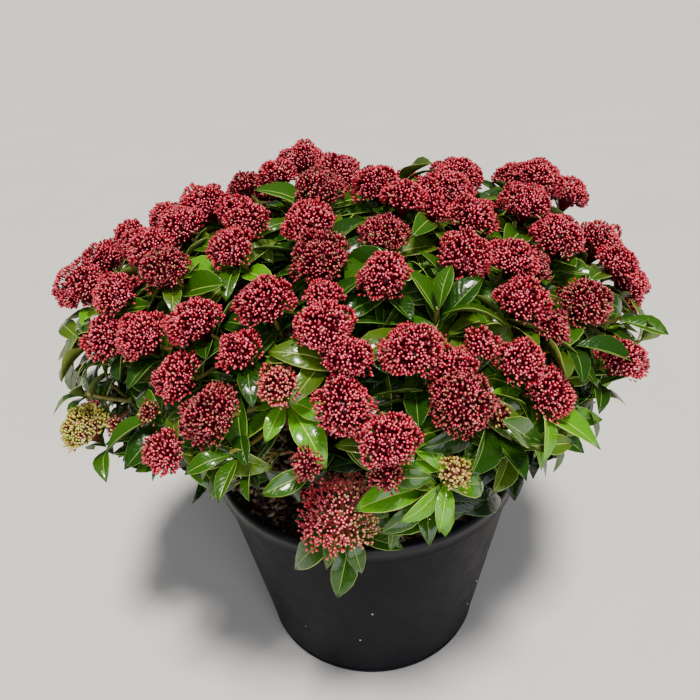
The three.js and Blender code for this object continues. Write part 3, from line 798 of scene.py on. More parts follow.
def chip(name, dark, light):
    """Chipped pine bark: split along its layers, so that bands of colour run through each chip."""
    material, tree, place = new_finish(name)
    layer_place = add(tree, "ShaderNodeMapping", Vector=place, Rotation=(0.6, 0.3, 0.9),
                      Scale=(1.0, 1.0, 4.0))
    layers = add(tree, "ShaderNodeTexNoise", Vector=layer_place, Scale=240.0, Detail=4.0)
    tone = add(tree, "ShaderNodeValToRGB", {"stops": [(0.38, dark), (0.64, light)]}, Fac=layers)
    bump = add(tree, "ShaderNodeBump", Height=layers, Strength=0.6, Distance=0.0008)
    add(tree, "ShaderNodeOutputMaterial", Surface=add(
        tree, "ShaderNodeBsdfPrincipled", Base_Color=tone, Roughness=0.85, Normal=bump))
    return material


def bark(name, dark, light, scale, gloss):
    """Grown bark: smooth and a little shiny on young wood, cracked and dull on old wood, in patches of two
    shades."""
    material, tree, place = new_finish(name)
    cork = add(tree, "ShaderNodeTexNoise", Vector=place, Scale=scale, Detail=5.0, Roughness=0.6)
    fleck = add(tree, "ShaderNodeTexVoronoi", Vector=place, Scale=scale * 2.2)
    tone = add(tree, "ShaderNodeValToRGB", {"stops": [(0.36, dark), (0.62, light)]}, Fac=cork)
    bump = add(tree, "ShaderNodeBump", Height=fleck, Strength=0.35, Distance=0.0005)
    add(tree, "ShaderNodeOutputMaterial", Surface=add(
        tree, "ShaderNodeBsdfPrincipled", Base_Color=tone, Roughness=gloss, Normal=bump))
    return material


def leaf_skin(name, colour, roughness, wax):
    """Leathery evergreen leaf: one plain tone under a waxed skin, whose side veins and faint swells break up
    the shine."""
    material, tree, place = new_finish(name)
    swell = add(tree, "ShaderNodeTexNoise", Vector=place, Scale=150.0, Detail=2.0)
    blade = add(tree, "ShaderNodeAttribute", {"attribute_name": "blade"}).outputs["Vector"]
    veins = add(tree, "ShaderNodeTexWave", {"wave_type": "BANDS", "bands_direction": "Y"},
                Vector=blade, Scale=2.6, Distortion=0.8, Detail=1.0, Detail_Scale=1.5).outputs["Fac"]
    ridges = add(tree, "ShaderNodeMix", {"data_type": "FLOAT"}, _0=0.1, _2=swell, _3=veins)
    mottle = add(tree, "ShaderNodeTexNoise", Vector=place, Scale=380.0, Detail=3.0)
    gloss = add(tree, "ShaderNodeMapRange", Value=mottle, From_Min=0.3, From_Max=0.7,
                To_Min=roughness - 0.07, To_Max=roughness + 0.09)
    bump = add(tree, "ShaderNodeBump", Height=ridges, Strength=0.5, Distance=0.0022)
    add(tree, "ShaderNodeOutputMaterial", Surface=add(
        tree, "ShaderNodeBsdfPrincipled", Base_Color=linear(colour), Roughness=gloss, IOR=1.45,
        Specular_IOR_Level=0.2, Coat_Weight=wax, Coat_Roughness=0.1, Normal=bump))
    return material


def bud_skin(name, colour, roughness, shine):
    """Flower bud: fleshy and smooth under a thin bloom of wax, so that each bud has its own soft glint."""
    material, tree, place = new_finish(name)
    bloom = add(tree, "ShaderNodeTexNoise", Vector=place, Scale=900.0, Detail=1.0)
    gloss = add(tree, "ShaderNodeMapRange", Value=bloom, From_Min=0.3, From_Max=0.7,
                To_Min=roughness - 0.08, To_Max=roughness + 0.08)
    add(tree, "ShaderNodeOutputMaterial", Surface=add(
        tree, "ShaderNodeBsdfPrincipled", Base_Color=linear(colour), Roughness=gloss, IOR=1.5,
        Specular_IOR_Level=shine))
    return material


def node_group(name, inputs):
    """An empty tree for a Geometry Nodes modifier, with its named inputs."""
    tree = bpy.data.node_groups.new(name, "GeometryNodeTree")
    tree.is_modifier = True
    for key, kind in [("Geometry", "NodeSocketGeometry"), *inputs]:
        tree.interface.new_socket(name=key, in_out="INPUT", socket_type=kind)
    tree.interface.new_socket(name="Geometry", in_out="OUTPUT", socket_type="NodeSocketGeometry")
    return tree, tree.nodes.new("NodeGroupInput").outputs


# What each point of a spray carries, and the part that each face of a form belongs to
SPRAY_VALUES = {
    "along": "FLOAT_VECTOR", "face": "FLOAT_VECTOR", "size": "FLOAT_VECTOR", "form": "INT", "part": "INT"}


def spray_tree(parts):
    """Stands one of a collection's forms on every point, turned and sized as the point says, and gives
    each part of the form its finish."""
    tree, given = node_group(
        "Spray of " + " and ".join(parts),
        [("Forms", "NodeSocketCollection"), *((part, "NodeSocketMaterial") for part in parts)])
    carried = {key: add(tree, "GeometryNodeInputNamedAttribute", {"data_type": kind}, Name=key)
               for key, kind in SPRAY_VALUES.items()}
    forms = add(tree, "GeometryNodeCollectionInfo", Collection=given["Forms"], Separate_Children=True,
                Reset_Children=True)
    turn = add(tree, "FunctionNodeAxesToRotation", {"primary_axis": "Y", "secondary_axis": "Z"},
               Primary_Axis=carried["along"], Secondary_Axis=carried["face"])
    sprays = add(tree, "GeometryNodeInstanceOnPoints", Points=given["Geometry"], Instance=forms,
                 Pick_Instance=True, Instance_Index=carried["form"], Rotation=turn, Scale=carried["size"])
    shape = add(tree, "GeometryNodeRealizeInstances", Geometry=sprays)
    for number, part in enumerate(parts):
        chosen = add(tree, "FunctionNodeCompare", {"data_type": "INT", "operation": "EQUAL"},
                     _2=carried["part"], _3=number)
        shape = add(tree, "GeometryNodeSetMaterial", Geometry=shape, Selection=chosen, Material=given[part])
    add(tree, "NodeGroupOutput", Geometry=shape)
    return tree


def limb_tree():
    """Sweeps a round section along every path, as thick as its points say, with a little relief."""
    tree, given = node_group("Round limbs", [
        ("Sides", "NodeSocketInt"), ("Relief", "NodeSocketFloat"), ("Grain", "NodeSocketFloat"),
        ("Bark", "NodeSocketMaterial")])
    paths = add(tree, "GeometryNodeMeshToCurve", Mesh=given["Geometry"])
    section = add(tree, "GeometryNodeCurvePrimitiveCircle", Resolution=given["Sides"], Radius=1.0)
    thickness = add(tree, "GeometryNodeInputNamedAttribute", {"data_type": "FLOAT"}, Name="radius")
    limbs = add(tree, "GeometryNodeCurveToMesh", Curve=paths, Profile_Curve=section, Scale=thickness,
                Fill_Caps=True)
    grain = add(tree, "ShaderNodeTexNoise", Scale=given["Grain"], Detail=2.0)
    centred = add(tree, "ShaderNodeMath", {"operation": "SUBTRACT"}, _0=grain, _1=0.5)
    depth = add(tree, "ShaderNodeMath", {"operation": "MULTIPLY"}, _0=centred, _1=given["Relief"])
    outward = add(tree, "GeometryNodeInputNormal")
    offset = add(tree, "ShaderNodeVectorMath", {"operation": "SCALE"}, _0=outward, Scale=depth)
    rough = add(tree, "GeometryNodeSetPosition", Geometry=limbs, Offset=offset)
    smooth = add(tree, "GeometryNodeSetShadeSmooth", Geometry=rough)
    whole = add(tree, "GeometryNodeRealizeInstances", Geometry=smooth)
    done = add(tree, "GeometryNodeSetMaterial", Geometry=whole, Material=given["Bark"])
    add(tree, "NodeGroupOutput", Geometry=done)
    return tree


def litter_tree():
    """Scatters a collection's forms over a surface, each turned and sized by chance."""
    tree, given = node_group("Litter of chips", [
        ("Forms", "NodeSocketCollection"), ("Density", "NodeSocketFloat"), ("Size", "NodeSocketFloat"),
        ("Seed", "NodeSocketInt"), ("Bark", "NodeSocketMaterial")])
    places = add(tree, "GeometryNodeDistributePointsOnFaces", Mesh=given["Geometry"],
                 Density=given["Density"], Seed=given["Seed"])
    forms = add(tree, "GeometryNodeCollectionInfo", Collection=given["Forms"], Separate_Children=True,
                Reset_Children=True)
    turn = add(tree, "FunctionNodeRandomValue", {"data_type": "FLOAT_VECTOR"}, _0=(-0.5, -0.5, 0.0),
               _1=(0.5, 0.5, math.tau), Seed=given["Seed"])
    angle = add(tree, "FunctionNodeEulerToRotation", Euler=turn)
    pick = add(tree, "FunctionNodeRandomValue", {"data_type": "INT"}, _4=0, _5=CHIP_FORMS - 1,
               Seed=given["Seed"])
    least = add(tree, "ShaderNodeMath", {"operation": "MULTIPLY"}, _0=given["Size"], _1=0.45)
    most = add(tree, "ShaderNodeMath", {"operation": "MULTIPLY"}, _0=given["Size"], _1=1.35)
    size = add(tree, "FunctionNodeRandomValue", {"data_type": "FLOAT"}, _2=least, _3=most, Seed=given["Seed"])
    chips = add(tree, "GeometryNodeInstanceOnPoints", Points=places, Instance=forms, Pick_Instance=True,
                Instance_Index=pick, Rotation=angle, Scale=size)
    whole = add(tree, "GeometryNodeRealizeInstances", Geometry=chips)
    done = add(tree, "GeometryNodeSetMaterial", Geometry=whole, Material=given["Bark"])
    add(tree, "NodeGroupOutput", Geometry=done)
    return tree


def grow_piece(name, carrier, tree, values):
    """Runs a tree on a carrier mesh and keeps the result as a plain mesh object at the origin."""
    holder = stand(name + "_carrier", carrier)
    modifier = holder.modifiers.new("Grow", "NODES")
    modifier.node_group = tree
    for item in tree.interface.items_tree:
        if item.item_type == "SOCKET" and item.in_out == "INPUT" and item.name in values:
            modifier[item.identifier] = values[item.name]
    evaluated = holder.evaluated_get(bpy.context.evaluated_depsgraph_get())
    mesh = bpy.data.meshes.new_from_object(evaluated)
    mesh.name = name
    bpy.data.objects.remove(holder)
    bpy.data.meshes.remove(carrier)
    for key in (*SPRAY_VALUES, "radius"):
        if key in mesh.attributes:
            mesh.attributes.remove(mesh.attributes[key])
    return stand(name, mesh)


def spray_points(name, sprays):
    """A mesh of bare points, from rows of the root, direction, facing, size and form of what grows there."""
    roots, *vectors, forms = zip(*sprays)
    mesh = bpy.data.meshes.new(name)
    mesh.vertices.add(len(roots))
    mesh.vertices.foreach_set("co", np.asarray(roots, np.float32).ravel())
    for key, rows in zip(("along", "face", "size"), vectors):
        values = mesh.attributes.new(key, "FLOAT_VECTOR", "POINT")
        values.data.foreach_set("vector", np.asarray(rows, np.float32).ravel())
    mesh.attributes.new("form", "INT", "POINT").data.foreach_set("value", np.asarray(forms, np.int32))
    return mesh


def limb_paths(name, limbs):
    """A mesh of edges along every limb, with the limb's radius at each point."""
    points, edges, radii = [], [], []
    for path, sizes in limbs:
        edges += [(len(points) + i, len(points) + i + 1) for i in range(len(path) - 1)]
        points += [tuple(map(float, point)) for point in path]
        radii += [float(size) for size in sizes]
    mesh = bpy.data.meshes.new(name)
    mesh.from_pydata(points, edges, [])
    mesh.attributes.new("radius", "FLOAT", "POINT").data.foreach_set("value", radii)
    return mesh


def form_collection(name, forms):
    """Hides forms away in a collection of their own, in the order that their names sort in."""
    collection = bpy.data.collections.new(name)
    for i, (vertices, faces, parts, *blade) in enumerate(forms):
        mesh = bpy.data.meshes.new(f"{name}_{i}")
        mesh.from_pydata([tuple(map(float, vertex)) for vertex in vertices], [], faces)
        mesh.polygons.foreach_set("use_smooth", [True] * len(faces))
        mesh.attributes.new("part", "INT", "FACE").data.foreach_set("value", parts)
        for places in blade:
            values = mesh.attributes.new("blade", "FLOAT_VECTOR", "POINT")
            values.data.foreach_set("vector", np.asarray(places, np.float32).ravel())
        collection.objects.link(bpy.data.objects.new(f"{name}_{i}", mesh))
    return collection


def drop_forms(collection):
    """Removes forms once every piece that uses them is made."""
    for form in list(collection.objects):
        mesh = form.data
        bpy.data.objects.remove(form)
        bpy.data.meshes.remove(mesh)
    bpy.data.collections.remove(collection)


# Pot

def revolve(profile, segments):
    """A closed surface of revolution from (radius, height) points that start and end on the axis."""
    vertices, faces, rings = [], [], []
    for radius, height in profile:
        if radius < 1e-9:
            rings.append([len(vertices)] * segments)
            vertices.append((0.0, 0.0, height))
            continue
        rings.append([len(vertices) + i for i in range(segments)])
        for i in range(segments):
            angle = math.tau * i / segments
            vertices.append((radius * math.cos(angle), radius * math.sin(angle), height))
    for low, high in zip(rings, rings[1:]):
        for i in range(segments):
            j = (i + 1) % segments
            corners = [low[i], low[j], high[j], high[i]]
            faces.append([c for k, c in enumerate(corners) if c != corners[k - 1]])
    return vertices, faces


def arc(centre, radius, start, end, steps):
    """Points of a round stretch of a profile, from one angle to another in degrees."""
    angles = [math.radians(lerp(start, end, step / steps)) for step in range(steps + 1)]
    return [(centre[0] + radius * math.cos(a), centre[1] + radius * math.sin(a)) for a in angles]


def pot_profile(seam_height):
    """The pot's section from the middle of its underside, up the wall, over the rim and down inside."""
    lip = POT_HEIGHT - POT_RIM_HEIGHT
    wall_top = POT_RIM_RADIUS - POT_RIM_OVERHANG
    inside_top = wall_top - POT_WALL
    foot, seam = 0.0025, 0.0006
    under_lip, lip_edge, inner_edge = 0.0018, 0.0016, 0.0012

    def wall(height):
        return lerp(POT_BASE_RADIUS, wall_top, (height - foot) / (lip - foot))

    profile = [(0.0, 0.0), (POT_BASE_RADIUS - 0.022, 0.0), (POT_BASE_RADIUS - foot, 0.0)]
    profile += arc((POT_BASE_RADIUS - foot, foot), foot, -60, 0, 4)
    profile += [(wall(seam_height - seam), seam_height - seam), (wall(seam_height) + seam, seam_height),
                (wall(seam_height + seam), seam_height + seam)]
    profile += [(wall(height), height) for height in np.linspace(0.02, lip - 0.006, 8)]
    profile += arc((wall_top + under_lip, lip - 0.0012), under_lip, 180, 110, 4)
    profile += arc((POT_RIM_RADIUS - lip_edge, lip + 0.0024), lip_edge, -70, 0, 4)
    profile += [(POT_RIM_RADIUS - 0.0003, lip + 0.006), (POT_RIM_RADIUS - 0.0004, POT_HEIGHT - 0.0055)]
    round_centre = (POT_RIM_RADIUS - POT_RIM_ROUND - 0.0002, POT_HEIGHT - POT_RIM_ROUND)
    profile += arc(round_centre, POT_RIM_ROUND, 8, 90, 6)
    profile += arc((inside_top + inner_edge, POT_HEIGHT - inner_edge), inner_edge, 90, 180, 3)
    profile += [(inside_top, POT_HEIGHT - 0.006), (inside_top, lip)]
    profile += [(POT_BASE_RADIUS - POT_WALL, POT_FLOOR), (0.0, POT_FLOOR)]
    return profile


def make_pot(settings):
    """The moulded pot, as one closed surface of revolution."""
    vertices, faces = revolve(pot_profile(settings.seam_height), settings.segments)
    pot = mesh_object("nursery_pot", vertices, faces)
    pot.data.set_sharp_from_angle(angle=math.radians(40))
    pot.data.materials.append(moulded_plastic(settings.colour))
    seat_piece(pot, "pot", "pot")


def make_grit(settings):
    """A few white grains cling to the pot's wall, more of them near its foot. A grain is a lump of few
    faces, the same form as a short bud."""
    grains = []
    for i in range(settings.specks):
        height = lerp(0.008, 0.18, chance(i, 52) ** 1.6)
        share = height / (POT_HEIGHT - POT_RIM_HEIGHT)
        radius = lerp(POT_BASE_RADIUS, POT_RIM_RADIUS - POT_RIM_OVERHANG, share) + 0.0001
        outward = direction(360 * chance(i, 51), 0)
        size = 0.0006 + 0.0007 * chance(i, 53)
        root = outward * radius + np.array([0, 0, height])
        grains.append((root, outward, (0, 0, 1), (size, size * 0.5, size), 0))
    forms = form_collection("grain_form", [bud_form(0.9)])
    piece = grow_piece("perlite_grit", spray_points("grains", grains), spray_tree(["Grain"]), {
        "Forms": forms, "Grain": grit()})
    drop_forms(forms)
    seat_piece(piece, "pot")


# Compost

# The grid of its top, its gaps to the pot's wall and floor, and how far its edge has crumbled in
COMPOST_RINGS = 34
COMPOST_SPOKES = 110
COMPOST_WALL_GAP = 0.0004
COMPOST_FLOOR_GAP = 0.0003
COMPOST_EDGE = 0.0009
COMPOST_RISE = 0.005


def compost_height(x, y, relief):
    """A crumbly surface that rises a little to the wall and stays under the rim."""
    across = math.hypot(x, y) / POT_RIM_RADIUS
    lumps = noise.fractal(Vector((x * 55, y * 55, 0.7)), 0.8, 2.2, 4)
    return COMPOST_TOP + COMPOST_RISE * smoothstep(across, 0.55, 0.9) + relief * (0.6 * lumps - 0.35)


def make_compost(settings):
    """The fill of the pot, with a fine grid on top and a plain side and bottom."""
    rings, spokes = COMPOST_RINGS, COMPOST_SPOKES
    lip = POT_HEIGHT - POT_RIM_HEIGHT
    bottom = POT_FLOOR + COMPOST_FLOOR_GAP
    outer = POT_RIM_RADIUS - POT_RIM_OVERHANG - POT_WALL - COMPOST_WALL_GAP
    vertices = [(0.0, 0.0, compost_height(0, 0, settings.relief))]
    for ring in range(1, rings + 1):
        for spoke in range(spokes):
            angle = math.tau * (spoke + 0.5 * (ring % 2)) / spokes
            radius = outer * ring / rings - (COMPOST_EDGE if ring == rings else 0)
            x, y = radius * math.cos(angle), radius * math.sin(angle)
            vertices.append((x, y, compost_height(x, y, settings.relief)))
    faces = [(0, 1 + s, 1 + (s + 1) % spokes) for s in range(spokes)]
    for ring in range(rings - 1):
        low, high = 1 + ring * spokes, 1 + (ring + 1) * spokes
        for s in range(spokes):
            t = (s + 1) % spokes
            faces.append((low + s, high + s, high + t, low + t))
    top_faces = len(faces)
    base = len(vertices)
    floor_radius = POT_BASE_RADIUS - POT_WALL - 0.0006
    for height, radius in ((lip - 0.012, outer - 0.0012), (bottom, floor_radius)):
        for spoke in range(spokes):
            angle = math.tau * (spoke + 0.5 * (rings % 2)) / spokes
            vertices.append((radius * math.cos(angle), radius * math.sin(angle), height))
    vertices.append((0.0, 0.0, bottom))
    edge = 1 + (rings - 1) * spokes
    for s in range(spokes):
        t = (s + 1) % spokes
        faces.append((edge + s, base + s, base + t, edge + t))
        faces.append((base + s, base + spokes + s, base + spokes + t, base + t))
        faces.append((base + spokes + s, len(vertices) - 1, base + spokes + t))
    compost = mesh_object("compost_fill", vertices, faces)
    compost.data.materials.append(soil())
    seat_piece(compost, "compost", "compost")
    return vertices, faces[:top_faces]


# Bark chips: the forms to pick from, the seed of the first colour, and for each colour its name, its
# material's name, its dark and light browns, and how dense it lies against the setting
CHIP_FORMS = 4
CHIP_SEED = 7
CHIP_COLOURS = [
    ("dark", "Wet pine bark chips", "#1C120D", "#4A3226", 1.2),
    ("brown", "Pine bark chips", "#483224", "#8C6A4E", 1.1),
    ("pale", "Dry pine bark chips", "#84684E", "#CDB494", 0.9),
]


def chip_form(turn):
    """A flat wedge of bark, split at both ends, about one unit long."""
    outline = [(-0.5, -0.16), (-0.36, 0.17), (0.02, 0.24), (0.42, 0.15), (0.5, -0.1), (0.1, -0.22)]
    vertices = []
    for level, share in ((-0.07, 0.85), (0.09, 1.0)):
        for i, (x, y) in enumerate(outline):
            wave = 0.07 * math.sin(3.1 * x + turn) + 0.03 * chance(turn, i)
            vertices.append((x * share, y * share * (0.8 + 0.5 * chance(turn, i, 2)), level + wave))
    count = len(outline)
    faces = [tuple(range(count)), tuple(range(2 * count - 1, count - 1, -1))]
    for i in range(count):
        j = (i + 1) % count
        faces.append((i, count + i, count + j, j))
    return vertices, faces, [0] * len(faces)


def make_chips(settings, ground):
    """Bark chips in three colours on the compost."""
    forms = form_collection("chip_form", [chip_form(turn) for turn in range(CHIP_FORMS)])
    tree = litter_tree()
    for number, (name, material, dark, light, share) in enumerate(CHIP_COLOURS):
        carrier = bpy.data.meshes.new("ground")
        carrier.from_pydata(ground[0], [], ground[1])
        chips = grow_piece("bark_chips_" + name, carrier, tree, {
            "Forms": forms, "Density": settings.chips * share, "Size": settings.chip_length,
            "Seed": CHIP_SEED + number, "Bark": chip(material, dark, light)})
        seat_piece(chips, "compost")
    drop_forms(forms)


# Stem, boughs and twigs

# Levels of the stem, steps along a bough, and faces round them
STEM_LEVELS = 26
BOUGH_STEPS = 26
STEM_SIDES = 40
BOUGH_SIDES = 18

# How deep the stem's mesh starts in the compost, how far its top is worn, and its root shoulders
STEM_SUNK = 0.004
STEM_WORN_TOP = 0.8
STEM_SHOULDERS = 5
STEM_SHOULDER_RISE = 0.16

# How much a bough thickens where it leaves the stem, and over how many steps
BOUGH_COLLAR = 0.0022
BOUGH_COLLAR_STEPS = 2.4

# Sprigs leave a twig between these shares of its length, at these degrees and with these lengths, and need
# this much room at their tips
SPRIG_STATIONS = (0.25, 0.85)
SPRIG_SPREAD = (38, 62)
SPRIG_LENGTH = (0.028, 0.052)
SPRIG_STEPS = 6
SPRIG_TIP_SKIN = -0.018
SPRIG_TIP_ROOM = 1.2
SPRIG_TIP_RADIUS = 0.0011

# Green young wood starts between these shares of a twig
YOUNG_WOOD_START = (0.35, 0.6)


def side_axes(axis):
    """Two directions that are square to an axis and to each other."""
    across = unit(np.cross((1.0, 0.3, 0.0), axis))
    return across, np.cross(axis, across)


def spoke_at(across, beside, turn):
    """The direction at an angle round an axis, from two directions that are square to it."""
    return across * math.cos(turn) + beside * math.sin(turn)


def ring_tube(points, radii, sides, swell):
    """A closed tube along points. swell gives the share by which a point of the ring stands out."""
    points = np.asarray(points, float)
    tangents = np.gradient(points, axis=0)
    across = np.cross(tangents[0], (0.3, 1.0, 0.1))
    vertices, faces = [], []
    for i, (point, tangent, radius) in enumerate(zip(points, tangents, radii)):
        tangent = unit(tangent)
        across = unit(across - tangent * float(across @ tangent))
        beside = np.cross(tangent, across)
        for side in range(sides):
            angle = math.tau * side / sides
            spoke = spoke_at(across, beside, angle)
            vertices.append(point + spoke * radius * (1 + swell(i, angle, point + spoke * radius)))
    for i in range(len(points) - 1):
        for side in range(sides):
            j = (side + 1) % sides
            faces.append((i * sides + side, i * sides + j, (i + 1) * sides + j, (i + 1) * sides + side))
    faces.append(tuple(range(sides - 1, -1, -1)))
    faces.append(tuple(len(vertices) - sides + side for side in range(sides)))
    return vertices, faces


def furrows(point, radius, relief):
    """Depth of the bark's furrows at a point, as a share of the limb's radius."""
    place = Vector(map(float, point))
    long_marks = noise.noise(Vector((place.x * 420, place.y * 420, place.z * 90)))
    fine_marks = noise.noise(place * 900)
    return relief / radius * (0.8 * long_marks + 0.4 * fine_marks)


def stem_shape(relief):
    """The short trunk: a flare with root shoulders at the compost, then an even taper to a worn top."""
    levels = np.linspace(-STEM_SUNK, STEM_HEIGHT, STEM_LEVELS)
    radii = []
    for height in levels:
        share = min(max(height / STEM_NECK_HEIGHT, 0), 1)
        flare = (STEM_FOOT_RADIUS - STEM_NECK_RADIUS) * (1 - share) ** 2.2
        above = min(max((height - STEM_NECK_HEIGHT) / (STEM_HEIGHT - STEM_NECK_HEIGHT), 0), 1)
        radii.append(lerp(STEM_NECK_RADIUS, STEM_TOP_RADIUS, above) + flare)
    radii[-1] *= STEM_WORN_TOP
    points = [(STEM_LEAN * h, 0, COMPOST_TOP + h) for h in levels]

    def swell(i, angle, place):
        shoulder = STEM_SHOULDER_RISE * max(0.0, 1 - levels[i] / STEM_NECK_HEIGHT)
        return shoulder * math.cos(STEM_SHOULDERS * angle + 0.8) + furrows(place, radii[i], relief)

    return ring_tube(points, radii, STEM_SIDES, swell)


def bough_shape(mass, relief):
    """A limb that thickens where it leaves the stem and tapers evenly to its tip."""
    points = bough_points(mass, BOUGH_STEPS)
    radii = []
    for i in range(BOUGH_STEPS + 1):
        collar = BOUGH_COLLAR * math.exp(-i / BOUGH_COLLAR_STEPS)
        radii.append(lerp(BOUGH_ROOT_RADIUS, BOUGH_TIP_RADIUS, i / BOUGH_STEPS) + collar)

    def swell(i, angle, place):
        return furrows(place, radii[i], relief * 0.7)

    return ring_tube(points, radii, BOUGH_SIDES, swell)


def make_wood(settings):
    """Stem and boughs as one mesh with the bark's relief."""
    vertices, faces = [], []
    shapes = [stem_shape(settings.relief)] + [bough_shape(mass, settings.relief) for mass in SHRUB.masses]
    for points, sides in shapes:
        faces += [tuple(corner + len(vertices) for corner in face) for face in sides]
        vertices += points
    wood = mesh_object("stem_and_boughs", vertices, faces)
    wood.data.set_sharp_from_angle(angle=math.radians(50))
    wood.data.materials.append(bark("Old grey-brown bark", "#33241A", "#7C6550", 260.0, 0.82))
    seat_piece(wood, "bark", "stem", *BOUGH_NODES)


def sprig_limbs(settings):
    """Side twigs on each twig, which end in leaves below the heads."""
    sprigs = []
    for shoot in SHRUB.shoots:
        steps = len(shoot.twig) - 1
        for k in range(settings.sprigs):
            station = int(steps * lerp(*SPRIG_STATIONS, chance(shoot.key, 41, k)))
            start = shoot.twig[station]
            tangent = unit(shoot.twig[min(station + 1, steps)] - shoot.twig[station - 1])
            across = unit(np.cross(tangent, (0.3, 0.2, 1.0)))
            beside = np.cross(tangent, across)
            turn = math.radians(k * GOLDEN_ANGLE + 360 * chance(shoot.key, 42))
            radial = spoke_at(across, beside, turn)
            spread = math.radians(lerp(*SPRIG_SPREAD, chance(shoot.key, 43, k)))
            length = lerp(*SPRIG_LENGTH, chance(shoot.key, 44, k))
            heading = tangent * math.cos(spread) + radial * math.sin(spread)
            tip = start + unit(heading + shoot.outward * 0.45) * length
            if not has_room(tip[None], SPRIG_TIP_SKIN, SPRIG_TIP_ROOM)[0]:
                continue
            path = curve_points(start, start + heading * length * 0.55, tip, SPRIG_STEPS)
            sprigs.append(SimpleNamespace(
                key=SPRIG_KEY + shoot.key * 8 + k, path=path, tip=tip, outward=unit(path[-1] - path[-2]),
                parent=shoot.key, station=station))
    return sprigs


def twig_length(shoot, sprigs, bare_ends):
    """How many points of a twig are needed to carry what grows on it."""
    if shoot.flowering or shoot.key in bare_ends:
        return len(shoot.twig)
    needed = [sprig.station + 1 for sprig in sprigs if sprig.parent == shoot.key and sprig.key in bare_ends]
    if shoot.leads:
        needed.append(int(len(shoot.twig) * LEADER_LAST_FORK) + 2)
    return max(needed, default=0)


def cut_back(path, radii, bare_end):
    """Takes the bare end off a limb."""
    length = lengths_along(path)
    places = np.linspace(0, max(length[-1] - bare_end, length[1]), len(path))
    return points_at(path, length, places), np.interp(places, length, radii)


def make_twigs(settings, sprigs, bare_ends):
    """Red-brown older wood and green young wood, which meet part of the way along each twig."""
    old, young = [], []
    for shoot in SHRUB.shoots:
        length = twig_length(shoot, sprigs, bare_ends)
        if length == 0:
            continue
        root = settings.leader_radius if shoot.leads else settings.twig_radius
        radii = np.linspace(root, settings.tip_radius, len(shoot.twig))
        meet = int(len(shoot.twig) * lerp(*YOUNG_WOOD_START, chance(shoot.key, 45)))
        path, radii = shoot.twig[:length], radii[:length]
        if not shoot.flowering:
            path, radii = cut_back(path, radii, bare_ends.get(shoot.key, 0.0))
        old.append((path[:meet + 1], radii[:meet + 1]))
        if length > meet + 1:
            young.append((path[meet:], radii[meet:] * 0.98))
    for sprig in sprigs:
        if sprig.key in bare_ends:
            radii = np.linspace(settings.tip_radius * 0.9, SPRIG_TIP_RADIUS, len(sprig.path))
            young.append(cut_back(sprig.path, radii, bare_ends[sprig.key]))
    tree = limb_tree()
    brown = bark("Red-brown twig bark", "#3A1F17", "#8A5038", 520.0, 0.6)
    green = bark("Green twig skin", "#56601E", "#8C7A34", 420.0, 0.5)
    for name, limbs, sides, finish in (("twigs_old", old, 9, brown), ("twigs_young", young, 7, green)):
        twigs = grow_piece(name, limb_paths(name, limbs), tree, {
            "Sides": sides, "Relief": 0.0007, "Grain": 420.0, "Bark": finish})
        seat_piece(twigs, "bark", *FOLIAGE_NODES)


# Leaves

LEAF_PARTS = ["Blade", "Margin", "Midrib", "Underside"]

# Forms of leaf: how much it arches, droops at its tip and folds along its midrib, its twist in degrees, and
# its bend to the side
LEAF_SHAPES = [
    (0.10, 0.06, 0.085, 0, 0.0),
    (0.15, 0.20, 0.065, 14, 0.05),
    (0.05, -0.05, 0.125, -16, -0.05),
    (0.14, 0.30, 0.050, 10, 0.02),
    (0.04, 0.10, 0.155, -8, -0.02),
    (0.12, 0.14, 0.095, 24, 0.07),
]

# Where the pale margin begins and the midrib ends, as shares of the half width
LEAF_MARGIN = 0.952
LEAF_MIDRIB = 0.036

# Rows of corners along a leaf, and the number of the part that each strip across it belongs to
LEAF_ROWS = [0.0, 0.10, 0.25, 0.41, 0.57, 0.73, 0.88, 1.0]
LEAF_STRIPS = [1, 0, 2, 0, 1]

# Places on a leaf that need room, as shares of its length and of its half width
LEAF_TESTS = [
    (0.15, 0), (0.35, 0.7), (0.35, -0.7), (0.6, 0.8), (0.6, -0.8), (0.8, 0.4), (0.8, -0.4), (1.0, 0)]

# How far a leaf rolls about its midrib, in degrees, the range of its width against a common leaf's, and how
# deep its root sits in the twig
LEAF_ROLL = 24
LEAF_WIDTHS = (0.88, 1.14)
LEAF_ROOT_DEPTH = 0.0008

# A leafy shoot or a sprig with fewer leaves than these is left out
LEAFY_FEWEST = 7
SPRIG_FEWEST = 2

# Tones of leaf: blade, underside, margin, how rough the blade is and how thick its wax
LEAF_TONES = {
    # deep is painted shade, given only to leaves inside the crown; its margin, and the dark tone's, are
    # darkened to match
    "deep": ("#11280A", "#2C3A18", "#3C5A1E", 0.27, 0.22),
    "dark": ("#1D400B", "#3E4E20", "#6C9038", 0.25, 0.45),
    "green": ("#305A0B", "#485A22", "#96B24E", 0.28, 0.6),
    "olive": ("#486614", "#5A6628", "#A6B65A", 0.3, 0.6),
    "lime": ("#55980A", "#6E8A30", "#BAD25C", 0.28, 0.6),
}

# Tones of the leaves inside this reach of the crown and outside it, each up to a limit of the draw
# The inner tones are darker, as painted shade for the inside of the crown.
SHADE_TONES_REACH = 0.86
INNER_SHADE_TONES = [(0.6, "deep"), (1.0, "dark")]
OUTER_TONES = [(0.14, "lime"), (0.34, "olive"), (0.64, "green"), (1.0, "dark")]


